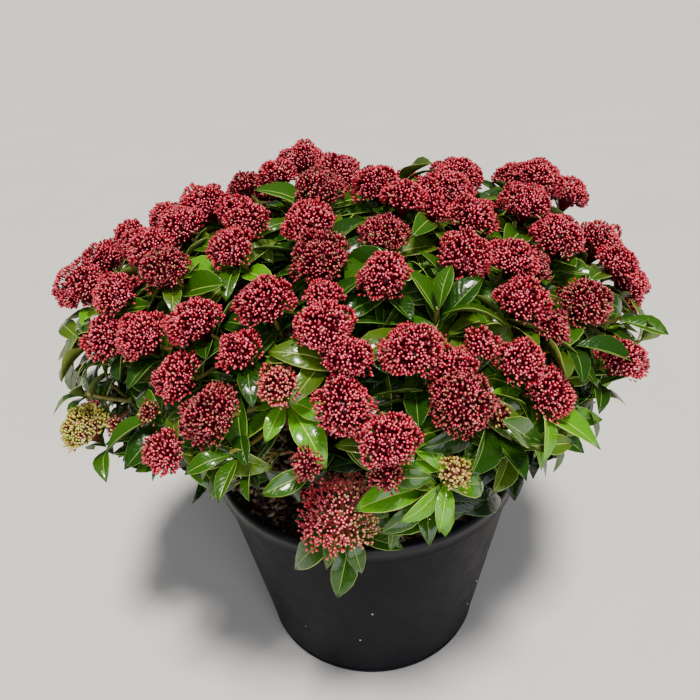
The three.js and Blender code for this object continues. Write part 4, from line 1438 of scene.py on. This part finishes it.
def leaf_form(arch, droop, fold, twist, bend):
    """An elliptic leaf of unit length and width, from its root at the origin to its tip along +Y: pale
    margins, a pale midrib in the crease, and a closed underside."""
    columns = [-1.0, -LEAF_MARGIN, -LEAF_MIDRIB, LEAF_MIDRIB, LEAF_MARGIN, 1.0]

    def place(t, u, drop):
        opening = math.sin(math.pi * t ** 1.22) ** 0.95 if 0 < t < 1 else 0.0
        x = 0.5 * u * opening
        z = arch * math.sin(math.pi * t) - droop * t * t + fold * abs(u) * opening
        z -= 0.012 * opening * max(0.0, abs(u) - LEAF_MARGIN) / (1 - LEAF_MARGIN) + drop * opening
        angle = math.radians(twist) * t
        return (x * math.cos(angle) + bend * t * t, t, z + x * math.sin(angle) * 0.45)

    vertices, blade = [place(0.0, 0, 0)], [(0, 0, 0)]
    top, under = [], []
    for t in LEAF_ROWS[1:-1]:
        top.append(list(range(len(vertices), len(vertices) + len(columns))))
        vertices += [place(t, u, 0) for u in columns]
        blade += [(0, 1.2 * t - 0.3 * abs(u), 0) for u in columns]
        under.append(len(vertices))
        vertices.append(place(t, 0, 0.016))
        blade.append((0, 1.2 * t, 0))
    tip = len(vertices)
    vertices.append(place(1.0, 0, 0))
    blade.append((0, 1.2, 0))
    faces, parts = [], []
    for i, part in enumerate(LEAF_STRIPS):
        faces.append((0, top[0][i + 1], top[0][i]))
        faces.append((tip, top[-1][i], top[-1][i + 1]))
        parts += [part] * 2
        for low, high in zip(top, top[1:]):
            faces.append((low[i], low[i + 1], high[i + 1], high[i]))
            parts.append(part)
    for side, flip in ((0, False), (-1, True)):
        strips = [(0, top[0][side], under[0]), (tip, under[-1], top[-1][side])]
        for k in range(len(top) - 1):
            strips.append((top[k][side], top[k + 1][side], under[k + 1], under[k]))
        for strip in strips:
            faces.append(strip[::-1] if flip else strip)
            parts.append(LEAF_PARTS.index("Underside"))
    return vertices, faces, parts, blade


def leaf_whorl(shoot, settings, count, below, step, lean, lean_range):
    """Leaves round a shoot from a length below its tip, each a step and a golden angle on from the last, and
    leaning off its axis by these degrees."""
    key, outward = shoot.key, shoot.outward
    across, beside = side_axes(outward)
    leaves = []
    for k in range(count):
        turn = math.radians(k * GOLDEN_ANGLE + 360 * chance(key, 11))
        spread = math.radians(lean + lean_range * (0.5 * chance(key, 12, k) + 0.5 * k / count))
        radial = spoke_at(across, beside, turn)
        along = outward * math.cos(spread) + radial * math.sin(spread)
        if along[2] < 0 and key not in NAMED_KEYS:
            along = unit(along * np.array([1, 1, LEAF_HANG]))
        face = outward * math.sin(spread) - radial * math.cos(spread)
        face = unit(face - along * (face @ along))
        roll = math.radians(LEAF_ROLL * (2 * chance(key, 14, k) - 1))
        face = face * math.cos(roll) + np.cross(face, along) * math.sin(roll)
        if face @ LIGHT_SIDE < 0:
            face = -face
        length = settings.length + settings.spread * chance(key, 13, k) ** 1.3
        width = length * settings.slenderness * lerp(*LEAF_WIDTHS, chance(key, 15, k))
        root = shoot.tip - outward * (below + step * k) - along * LEAF_ROOT_DEPTH
        leaves.append((root, along, face, length, width, int(chance(key, 16, k) * len(LEAF_SHAPES))))
    return leaves


def grown_whorls(settings, sprigs):
    """Each shoot's whorl of leaves, with its key, the fewest and the most of them to keep, and its skin."""
    for shoot in SHRUB.shoots:
        if shoot.flowering:
            leaves = leaf_whorl(
                shoot, settings, count=settings.under_head + 14, below=shoot.radius * 0.92 + 0.003,
                step=0.0022, lean=84 if shoot.key in NAMED_KEYS else 64, lean_range=44)
            yield shoot.key, 0, settings.under_head - (3 if shoot.side else 0), CROWN_SKIN, leaves
        else:
            leaves = leaf_whorl(
                shoot, settings, count=settings.on_leafy + 8, below=0.001,
                step=0.0026, lean=48, lean_range=58)
            yield shoot.key, LEAFY_FEWEST, settings.on_leafy, CROWN_SKIN, leaves
    for sprig in sprigs:
        leaves = leaf_whorl(
            sprig, settings, count=settings.on_sprig + 6, below=0.0,
            step=0.0024, lean=42, lean_range=58)
        yield sprig.key, SPRIG_FEWEST, settings.on_sprig, SPRIG_SKIN, leaves


def place_leaves(settings, sprigs):
    """Every leaf that has room, with the key of its shoot, and the bare length at each shoot's end."""
    kept, bare_ends = [], {}
    for key, fewest, most, skin, leaves in grown_whorls(settings, sprigs):
        root, along, face, length, width, form = (np.array(column) for column in zip(*leaves))
        side = np.cross(face, along) * width[:, None]
        along = along * length[:, None]
        tests = np.stack([root + along * t + side * 0.5 * u for t, u in LEAF_TESTS], axis=1)
        drop = HEM_DROP if key in RIM_KEYS else 0.0
        fits = has_room(tests, skin, 1.02, drop, key in NAMED_KEYS).all(axis=1)
        if fits.sum() < fewest:
            continue
        kept += [(key, leaf) for leaf, fit in zip(leaves, fits) if fit][:most]
        if fits.any():
            bare_ends[key] = float(np.linalg.norm(root[int(np.argmax(fits))] - root[0]))
    return kept, bare_ends


def leaf_tone(key, leaf):
    """A leaf's tone: lime young growth here and there, and deep green inside the crown as painted shade."""
    if key in FRESH_KEYS:
        return "lime"
    if key in RIM_KEYS:
        return "green"
    root, along, face, length, *rest = leaf
    depth = float(np.linalg.norm((root + along * length - CROWN_CENTRE) / CROWN_RADII))
    draw = chance(key, 17) * 0.65 + chance(key, 18, int(length * 1e5)) * 0.35
    shares = INNER_SHADE_TONES if depth < SHADE_TONES_REACH else OUTER_TONES
    return next(tone for limit, tone in shares if draw < limit)


def make_leaves(leaves_by_shoot):
    """Leaves in sprays, in one piece for each tone."""
    forms = form_collection("leaf_form", [leaf_form(*shape) for shape in LEAF_SHAPES])
    tree = spray_tree(LEAF_PARTS)
    groups = {tone: [] for tone in LEAF_TONES}
    for key, leaf in leaves_by_shoot:
        root, along, face, length, width, form = leaf
        groups[leaf_tone(key, leaf)].append((root, along, face, (width, length, length), form))
    for tone, sprays in groups.items():
        blade, underside, margin, roughness, wax = LEAF_TONES[tone]
        edge = leaf_skin(f"Pale edge of {tone} leaf", margin, 0.34, 0.15)
        piece = grow_piece("leaves_" + tone, spray_points(tone, sprays), tree, {
            "Forms": forms,
            "Blade": leaf_skin(f"Waxed {tone} leaf", blade, roughness, wax),
            "Margin": edge,
            "Midrib": edge,
            "Underside": leaf_skin(f"Matt underside of {tone} leaf", underside, 0.5, 0.0),
        })
        seat_piece(piece, "foliage", *FOLIAGE_NODES)
    drop_forms(forms)


# Heads of buds

# Tones of bud: colour of its body and of its tip, and how strongly it shines. The paler tip is partly a
# painted highlight on the side of the bud that faces up and out
BUD_TONES = {
    # shade: painted shade, a dark red with little shine for the core and the buds round it inside a head
    "shade": ("#500212", "#62061A", 0.2),
    "deep": ("#7A041D", "#D03A54", 0.8),
    "crimson": ("#BC042D", "#FF8698", 0.8),
    "rose": ("#DE1A40", "#FFB4BE", 0.8),
    "peach": ("#BE5C46", "#F4C4A4", 0.8),
    "brown": ("#6E3526", "#C2906C", 0.6),
    "straw": ("#B89A3C", "#F8EA92", 0.8),
    "lime": ("#B4B83A", "#F2F08C", 0.8),
}

# Shares of the tones in each kind of head
HEAD_KINDS = {
    "red": [("deep", 0.24), ("crimson", 0.44), ("rose", 0.28), ("peach", 0.04)],
    "dusky": [("deep", 0.46), ("crimson", 0.28), ("brown", 0.18), ("peach", 0.08)],
    "budding": [("brown", 0.6), ("straw", 0.24), ("deep", 0.16)],
    "flushed": [("crimson", 0.22), ("rose", 0.2), ("peach", 0.58)],
    "ripening": [("crimson", 0.34), ("rose", 0.26), ("peach", 0.34), ("straw", 0.06)],
    "pale": [("lime", 0.6), ("straw", 0.3), ("peach", 0.1)],
    "cream": [("straw", 0.8), ("lime", 0.1), ("brown", 0.1)],
}

# Share of the common heads that is dusky, and share of the side heads that is still budding
DUSKY_SHARE = 0.14
BUDDING_SHARE = 0.16

# A firm head and the loose one over the rim: spacing, size and height of the buds against the common ones,
# how ragged the head is, and how many stalks branch in it and how high
FIRM_HEAD = SimpleNamespace(spacing=1.0, bud_size=1.0, bud_height=1.0, ragged=0.0007, branches=9, highest=0.5)
LOOSE_HEAD = SimpleNamespace(
    spacing=1.28, bud_size=1.12, bud_height=0.6, ragged=0.0016, branches=36, highest=0.8)

# Buds cover a head down to this depth, as a share of its radius, and each takes this share of its spacing
# squared
HEAD_DEPTH = 1.30
BUD_PACKING = 0.87

# Clusters of a head: their number, and as shares of its radius how deep they go, how far out they are, how
# they scatter, how wide they are and how far out the buds between them are
CLUSTERS = 19
CLUSTER_DEPTH = 1.45
CLUSTER_MIDDLES = (0.52, 0.72)
CLUSTER_SCATTER = 0.07
CLUSTER_WIDTHS = (0.30, 0.42)
REACH_BETWEEN_CLUSTERS = 0.72

# The core of a head and the buds round it that are dark as painted shade, as shares of its radius, their
# size against a common bud, and their number in a head of this radius
CORE_WIDTH = 0.62
CORE_HEIGHT = 0.48
SHADE_REACH = 0.72
SHADE_SIZE = 2.2
SHADE_COUNT = 50
SHADE_COUNT_RADIUS = 0.019

# Radii along the stalk of a head and along its branches
STALK_RADII = [0.0011, 0.001, 0.0009, 0.0007]
BRANCH_RADII = [0.0008, 0.0007, 0.0006, 0.0005]

# Buds in a piece, which keeps it under 200,000 triangles
BUDS_IN_A_PIECE = 13500


def bud_form(stalk):
    """A bud of unit radius at the origin: a pale cap towards +Y, partly a painted highlight, a round body,
    and a point that runs back into its stalk."""
    vertices = []
    for radius, height, turn in ((0.56, 0.86, 0.0), (1.08, -0.05, 0.5)):
        for i in range(4):
            angle = math.tau * (i + turn) / 4
            vertices.append((radius * math.cos(angle), height, radius * math.sin(angle)))
    vertices.append((0.0, -stalk, 0.0))
    faces, parts = [(3, 2, 1, 0)], [1]
    for i in range(4):
        j = (i + 1) % 4
        faces += [(i, j, 4 + i), (j, 4 + j, 4 + i), (4 + i, 4 + j, 8)]
        parts += [0, 0, 0]
    return vertices, faces, parts


def head_kind(shoot):
    """The kind of a head's buds: its own, or one of the common kinds by chance."""
    if shoot.kind != "red":
        return shoot.kind
    if shoot.side and chance(shoot.key, 35) < BUDDING_SHARE:
        return "budding"
    return "dusky" if chance(shoot.key, 31) < DUSKY_SHARE else "red"


def bud_tone(kind, draw):
    """The tone that a draw from 0 to 1 falls on, by the shares of the head's kind."""
    total = 0.0
    for tone, share in HEAD_KINDS[kind]:
        total += share
        if draw < total:
            return tone
    return HEAD_KINDS[kind][-1][0]


def dome_directions(count, depth, turn):
    """Even directions round +Z that go down to a depth under the top, turned by these degrees."""
    i = np.arange(count)
    height = 1 - depth * (i + 0.5) / count
    turn = np.radians(i * GOLDEN_ANGLE + turn)
    flat = np.sqrt(1 - height ** 2)
    return np.stack([flat * np.cos(turn), flat * np.sin(turn), height], axis=1)


def cluster_reach(local, draw):
    """How far a head reaches along each direction, as a bunch of small round clusters."""
    middles = dome_directions(CLUSTERS, CLUSTER_DEPTH, draw.uniform(0, 360))
    middles = middles * draw.uniform(*CLUSTER_MIDDLES, (CLUSTERS, 1))
    middles = middles + draw.normal(0, CLUSTER_SCATTER, (CLUSTERS, 3))
    width = draw.uniform(*CLUSTER_WIDTHS, CLUSTERS)
    ahead = local @ middles.T
    room = width ** 2 - (middles ** 2).sum(axis=1) + ahead ** 2
    far = np.where(room > 0, ahead + np.sqrt(np.maximum(room, 0)), REACH_BETWEEN_CLUSTERS)
    return far.max(axis=1)


def head_buds(shoot, settings):
    """Buds over a domed head of small clusters: position, direction, size and tone of each. The head over
    the rim is looser, with shorter buds and a paler side."""
    radius = shoot.radius * settings.fullness
    loose = shoot.kind == "ripening"
    habit = LOOSE_HEAD if loose else FIRM_HEAD
    spacing = settings.bud_spacing * habit.spacing
    area = math.tau * radius ** 2 * HEAD_DEPTH
    count = int(area / (spacing ** 2 * BUD_PACKING))
    draw = np.random.default_rng(SEED * 1000 + shoot.key)
    local = dome_directions(count, HEAD_DEPTH, 360 * chance(shoot.key, 32))
    height = local[:, 2].copy()
    local += draw.normal(0, 0.35 * settings.bud_spacing / radius, local.shape)
    local /= np.linalg.norm(local, axis=1)[:, None]
    ragged = habit.ragged + 0.0022 * np.clip(0.35 - height, 0, 1)
    reach = radius * cluster_reach(local, draw) + np.abs(draw.normal(0, ragged, count))
    if loose:
        reach *= draw.uniform(0.80, 1.06, count)
    axes = np.stack([*side_axes(shoot.outward), shoot.outward])
    stretch = draw.uniform(0.92, 1.08)
    squashed = local * np.array([stretch, 1 / stretch, settings.flatness * draw.uniform(0.9, 1.08)])
    places = shoot.tip + (squashed * reach[:, None]) @ axes
    # Buds lean up and out, where their pale caps are a painted highlight as well as a pale tip
    along = (local * 0.8 + np.array([0, 0, 0.35]) + draw.normal(0, 0.12, local.shape)) @ axes
    along /= np.linalg.norm(along, axis=1)[:, None]
    sizes = settings.bud_radius * draw.uniform(0.82, 1.16, count) * habit.bud_size
    values = draw.uniform(0, 1, count)
    if loose:
        values = np.clip(values * 0.55 + 0.5 * (places[:, 0] - shoot.tip[0]) / radius + 0.25, 0, 1)
    kind = head_kind(shoot)
    tones = [bud_tone(kind, value) for value in values]
    kept = draw.uniform(0, 1, count) < np.clip(0.98 + 1.1 * height, 0, 1)
    sizes = sizes[:, None] * np.array([1, habit.bud_height, 1])
    return [bud for bud, keep in zip(zip(places, along, sizes, tones), kept) if keep]


def inner_buds(shoot, settings):
    """The crowded core of a head and buds round it, dark as painted shade, so that the floor doesn't show
    through.
    """
    # Painted shade: a dark tone inside the head, brown in pale and cream heads and shade in the others
    tone = "brown" if shoot.kind in ("pale", "cream") else "shade"
    core = shoot.radius * settings.fullness * CORE_WIDTH
    buds = [(shoot.tip, shoot.outward, (core, core * CORE_HEIGHT, core), tone)]
    radius = shoot.radius * settings.fullness * SHADE_REACH
    size = (settings.bud_radius * SHADE_SIZE,) * 3
    across, beside = side_axes(shoot.outward)
    count = max(12, int(SHADE_COUNT * (shoot.radius / SHADE_COUNT_RADIUS) ** 2))
    for i in range(count):
        height = 1 - 1.5 * (i + 0.5) / count
        turn = math.radians(i * GOLDEN_ANGLE + 40)
        flat = math.sqrt(1 - height * height)
        local = across * flat * math.cos(turn) + beside * flat * math.sin(turn)
        local = local + shoot.outward * height * 0.86
        buds.append((shoot.tip + local * radius, unit(local), size, tone))
    return buds


def head_stalks(shoot, settings):
    """The branched stalk inside a head: an axis, and side branches that rise to the buds round it."""
    radius = shoot.radius * settings.fullness
    outward, tip = shoot.outward, shoot.tip
    foot = tip - outward * radius * 0.95
    across, beside = side_axes(outward)
    axis = curve_points(foot, tip - outward * radius * 0.4, tip, 3)
    stalks = [(axis, STALK_RADII)]
    habit = LOOSE_HEAD if shoot.kind == "ripening" else FIRM_HEAD
    for k in range(habit.branches):
        turn = math.radians(k * GOLDEN_ANGLE + 360 * chance(shoot.key, 33))
        rise = lerp(-0.28, habit.highest, chance(shoot.key, 34, k))
        spoke = spoke_at(across, beside, turn)
        start = lerp(foot, tip, lerp(0.1, 0.75, k / (habit.branches - 1)))
        end = tip + (spoke * math.sqrt(1 - rise * rise) + outward * rise) * radius * 0.82
        bend = lerp(start, end, 0.45) + outward * radius * 0.04
        stalks.append((curve_points(start, bend, end, 3), BRANCH_RADII))
    return stalks


def make_stalks(settings):
    """Red stalks of every head in one piece."""
    stalks = [stalk for shoot in SHRUB.heads for stalk in head_stalks(shoot, settings)]
    red = bark("Red flower stalk", "#6A1220", "#A83A3A", 700.0, 0.5)
    piece = grow_piece("head_stalks", limb_paths("stalks", stalks), limb_tree(), {
        "Sides": 5, "Relief": 0.0, "Grain": 400.0, "Bark": red})
    seat_piece(piece, "foliage", *FOLIAGE_NODES)


def make_heads(settings):
    """Buds of every head, in pieces by tone."""
    groups = {tone: [] for tone in BUD_TONES}
    for shoot in SHRUB.heads:
        buds = head_buds(shoot, settings)
        # Every head but the loose one is filled with dark buds of painted shade
        if shoot.kind != "ripening":
            buds += inner_buds(shoot, settings)
        for place, along, size, tone in buds:
            groups[tone].append((place, along, size))
    forms = form_collection("bud_form", [bud_form(3.4)])
    tree = spray_tree(["Body", "Tip"])
    for tone, buds in groups.items():
        body_colour, tip_and_highlight_colour, shine = BUD_TONES[tone]
        body = bud_skin(f"Fleshy {tone} bud", body_colour, 0.32, shine)
        # The tip's paler colour is partly the bud's pale tip and partly a painted highlight
        tip = bud_skin(f"Waxy tip of {tone} bud", tip_and_highlight_colour, 0.24, shine)
        for part in range(math.ceil(len(buds) / BUDS_IN_A_PIECE)):
            chosen = buds[part * BUDS_IN_A_PIECE:(part + 1) * BUDS_IN_A_PIECE]
            faces = np.cross([along for place, along, size in chosen], (0.37, 0.61, 0.70))
            sprays = [(place, along, face, size, 0) for (place, along, size), face in zip(chosen, faces)]
            piece = grow_piece(f"buds_{tone}_{part + 1}", spray_points(tone, sprays), tree, {
                "Forms": forms, "Body": body, "Tip": tip})
            seat_piece(piece, "foliage", *FOLIAGE_NODES)
    drop_forms(forms)


# Stage

def add_light(name, kind, place, power, colour, **settings):
    """A light that looks at the crown."""
    lamp = bpy.data.lights.new(name, kind)
    lamp.energy, lamp.color = power, linear(colour)[:3]
    for key, value in settings.items():
        setattr(lamp, key, value)
    light = bpy.data.objects.new(name, lamp)
    light.location = place
    light.rotation_euler = (Vector(LIT_POINT) - Vector(place)).to_track_quat("-Z", "Y").to_euler()
    bpy.context.scene.collection.objects.link(light)


def make_stage(settings):
    """The pale floor, the even sky and the two lights."""
    half = settings.floor_size / 2
    floor = mesh_object("floor", [(-half, -half, 0), (half, -half, 0), (half, half, 0), (-half, half, 0)],
                        [(0, 1, 2, 3)], smooth=False)
    material, tree, place = new_finish("Pale painted floor")
    mottle = add(tree, "ShaderNodeTexNoise", Vector=place, Scale=3.0, Detail=3.0)
    tone = add(tree, "ShaderNodeValToRGB", {"stops": [(0.3, "#DEDDDA"), (0.7, "#E4E3E0")]}, Fac=mottle)
    add(tree, "ShaderNodeOutputMaterial", Surface=add(
        tree, "ShaderNodeBsdfPrincipled", Base_Color=tone, Roughness=0.85))
    floor.data.materials.append(material)
    floor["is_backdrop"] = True
    world = bpy.data.worlds.new("Even pale sky")
    world.use_nodes = True
    background = world.node_tree.nodes["Background"]
    background.inputs["Color"].default_value = linear("#E9EAEC")
    background.inputs["Strength"].default_value = settings.sky
    bpy.context.scene.world = world
    add_light("key", "SUN", (0.12, -0.62, 2.5), settings.key_strength, "#FFF8EE", angle=settings.key_softness)
    add_light("fill", "AREA", (0.35, -1.6, 0.95), settings.fill_power, "#F6F6FF", shape="DISK", size=1.2)


def make_camera():
    """The camera stands where the photo was taken, with its pitch and its slight roll."""
    pitch, roll = math.radians(CAMERA_PITCH), math.radians(CAMERA_ROLL)
    ahead = Vector((0, math.cos(pitch), -math.sin(pitch)))
    right = Vector((1, 0, 0))
    above = right.cross(ahead)
    rolled_right = right * math.cos(roll) + above * math.sin(roll)
    rolled_above = above * math.cos(roll) - right * math.sin(roll)
    camera = bpy.data.objects.new("camera", bpy.data.cameras.new("camera"))
    camera.data.sensor_width = CAMERA_SENSOR
    camera.data.lens = CAMERA_LENS
    camera.matrix_world = Matrix.Translation(CAMERA_PLACE) @ Matrix(
        (rolled_right, rolled_above, -ahead)).transposed().to_4x4()
    bpy.context.scene.collection.objects.link(camera)
    bpy.context.scene.camera = camera


# Operators and panel

class SHRUB_OT_stage(bpy.types.Operator):
    """Makes the camera, the lights and the pale floor."""

    bl_idname = "shrub.stage"
    bl_label = "Stage"

    def execute(self, context):
        make_camera()
        make_stage(context.scene.shrub_stage)
        return {"FINISHED"}


class SHRUB_OT_pot(bpy.types.Operator):
    """Makes the moulded pot and the grit that clings to it."""

    bl_idname = "shrub.pot"
    bl_label = "Pot"

    def execute(self, context):
        make_pot(context.scene.shrub_pot)
        make_grit(context.scene.shrub_pot)
        return {"FINISHED"}


class SHRUB_OT_compost(bpy.types.Operator):
    """Makes the compost and its bark chips."""

    bl_idname = "shrub.compost"
    bl_label = "Compost"

    def execute(self, context):
        ground = make_compost(context.scene.shrub_compost)
        make_chips(context.scene.shrub_compost, ground)
        return {"FINISHED"}


class SHRUB_OT_wood(bpy.types.Operator):
    """Makes the stem and its boughs, with the bark's relief."""

    bl_idname = "shrub.wood"
    bl_label = "Stem and boughs"

    def execute(self, context):
        make_wood(context.scene.shrub_wood)
        return {"FINISHED"}


class SHRUB_OT_foliage(bpy.types.Operator):
    """Makes the twigs and the leaves that they carry."""

    bl_idname = "shrub.foliage"
    bl_label = "Twigs and leaves"

    def execute(self, context):
        sprigs = sprig_limbs(context.scene.shrub_wood)
        leaves, bare_ends = place_leaves(context.scene.shrub_leaf, sprigs)
        make_twigs(context.scene.shrub_wood, sprigs, bare_ends)
        make_leaves(leaves)
        return {"FINISHED"}


class SHRUB_OT_heads(bpy.types.Operator):
    """Makes the heads of flower buds."""

    bl_idname = "shrub.heads"
    bl_label = "Heads of buds"

    def execute(self, context):
        make_stalks(context.scene.shrub_head)
        make_heads(context.scene.shrub_head)
        return {"FINISHED"}


OPERATORS = [SHRUB_OT_stage, SHRUB_OT_pot, SHRUB_OT_compost, SHRUB_OT_wood, SHRUB_OT_foliage, SHRUB_OT_heads]


class SHRUB_PT_panel(bpy.types.Panel):
    """Lists the pieces of the shrub and their settings."""

    bl_idname = "SHRUB_PT_panel"
    bl_label = "Potted Bud Shrub"
    bl_space_type = "VIEW_3D"
    bl_region_type = "UI"
    bl_category = "Shrub"

    def draw(self, context):
        for operator in OPERATORS:
            self.layout.operator(operator.bl_idname)
        for key, group in SETTINGS.items():
            box = self.layout.box()
            for name in group.__annotations__:
                box.prop(getattr(context.scene, key), name)


def register():
    for group in SETTINGS.values():
        bpy.utils.register_class(group)
    for key, group in SETTINGS.items():
        setattr(bpy.types.Scene, key, PointerProperty(type=group))
    for operator in OPERATORS:
        bpy.utils.register_class(operator)
    bpy.utils.register_class(SHRUB_PT_panel)


def unregister():
    bpy.utils.unregister_class(SHRUB_PT_panel)
    for operator in reversed(OPERATORS):
        bpy.utils.unregister_class(operator)
    for key in SETTINGS:
        delattr(bpy.types.Scene, key)
    for group in reversed(SETTINGS.values()):
        bpy.utils.unregister_class(group)


def write_sizes():
    """Works out the frame's box and the dressed model's box, and keeps neither."""
    boxes = {"cad": CAD_BOX, "visual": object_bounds()}
    {name: [list(corner) for corner in box] for name, box in boxes.items()}


def main():
    register()
    bpy.ops.shrub.stage()
    bpy.ops.shrub.pot()
    bpy.ops.shrub.compost()
    bpy.ops.shrub.wood()
    bpy.ops.shrub.foliage()
    bpy.ops.shrub.heads()
    write_sizes()


if __name__ == "__main__":
    main()
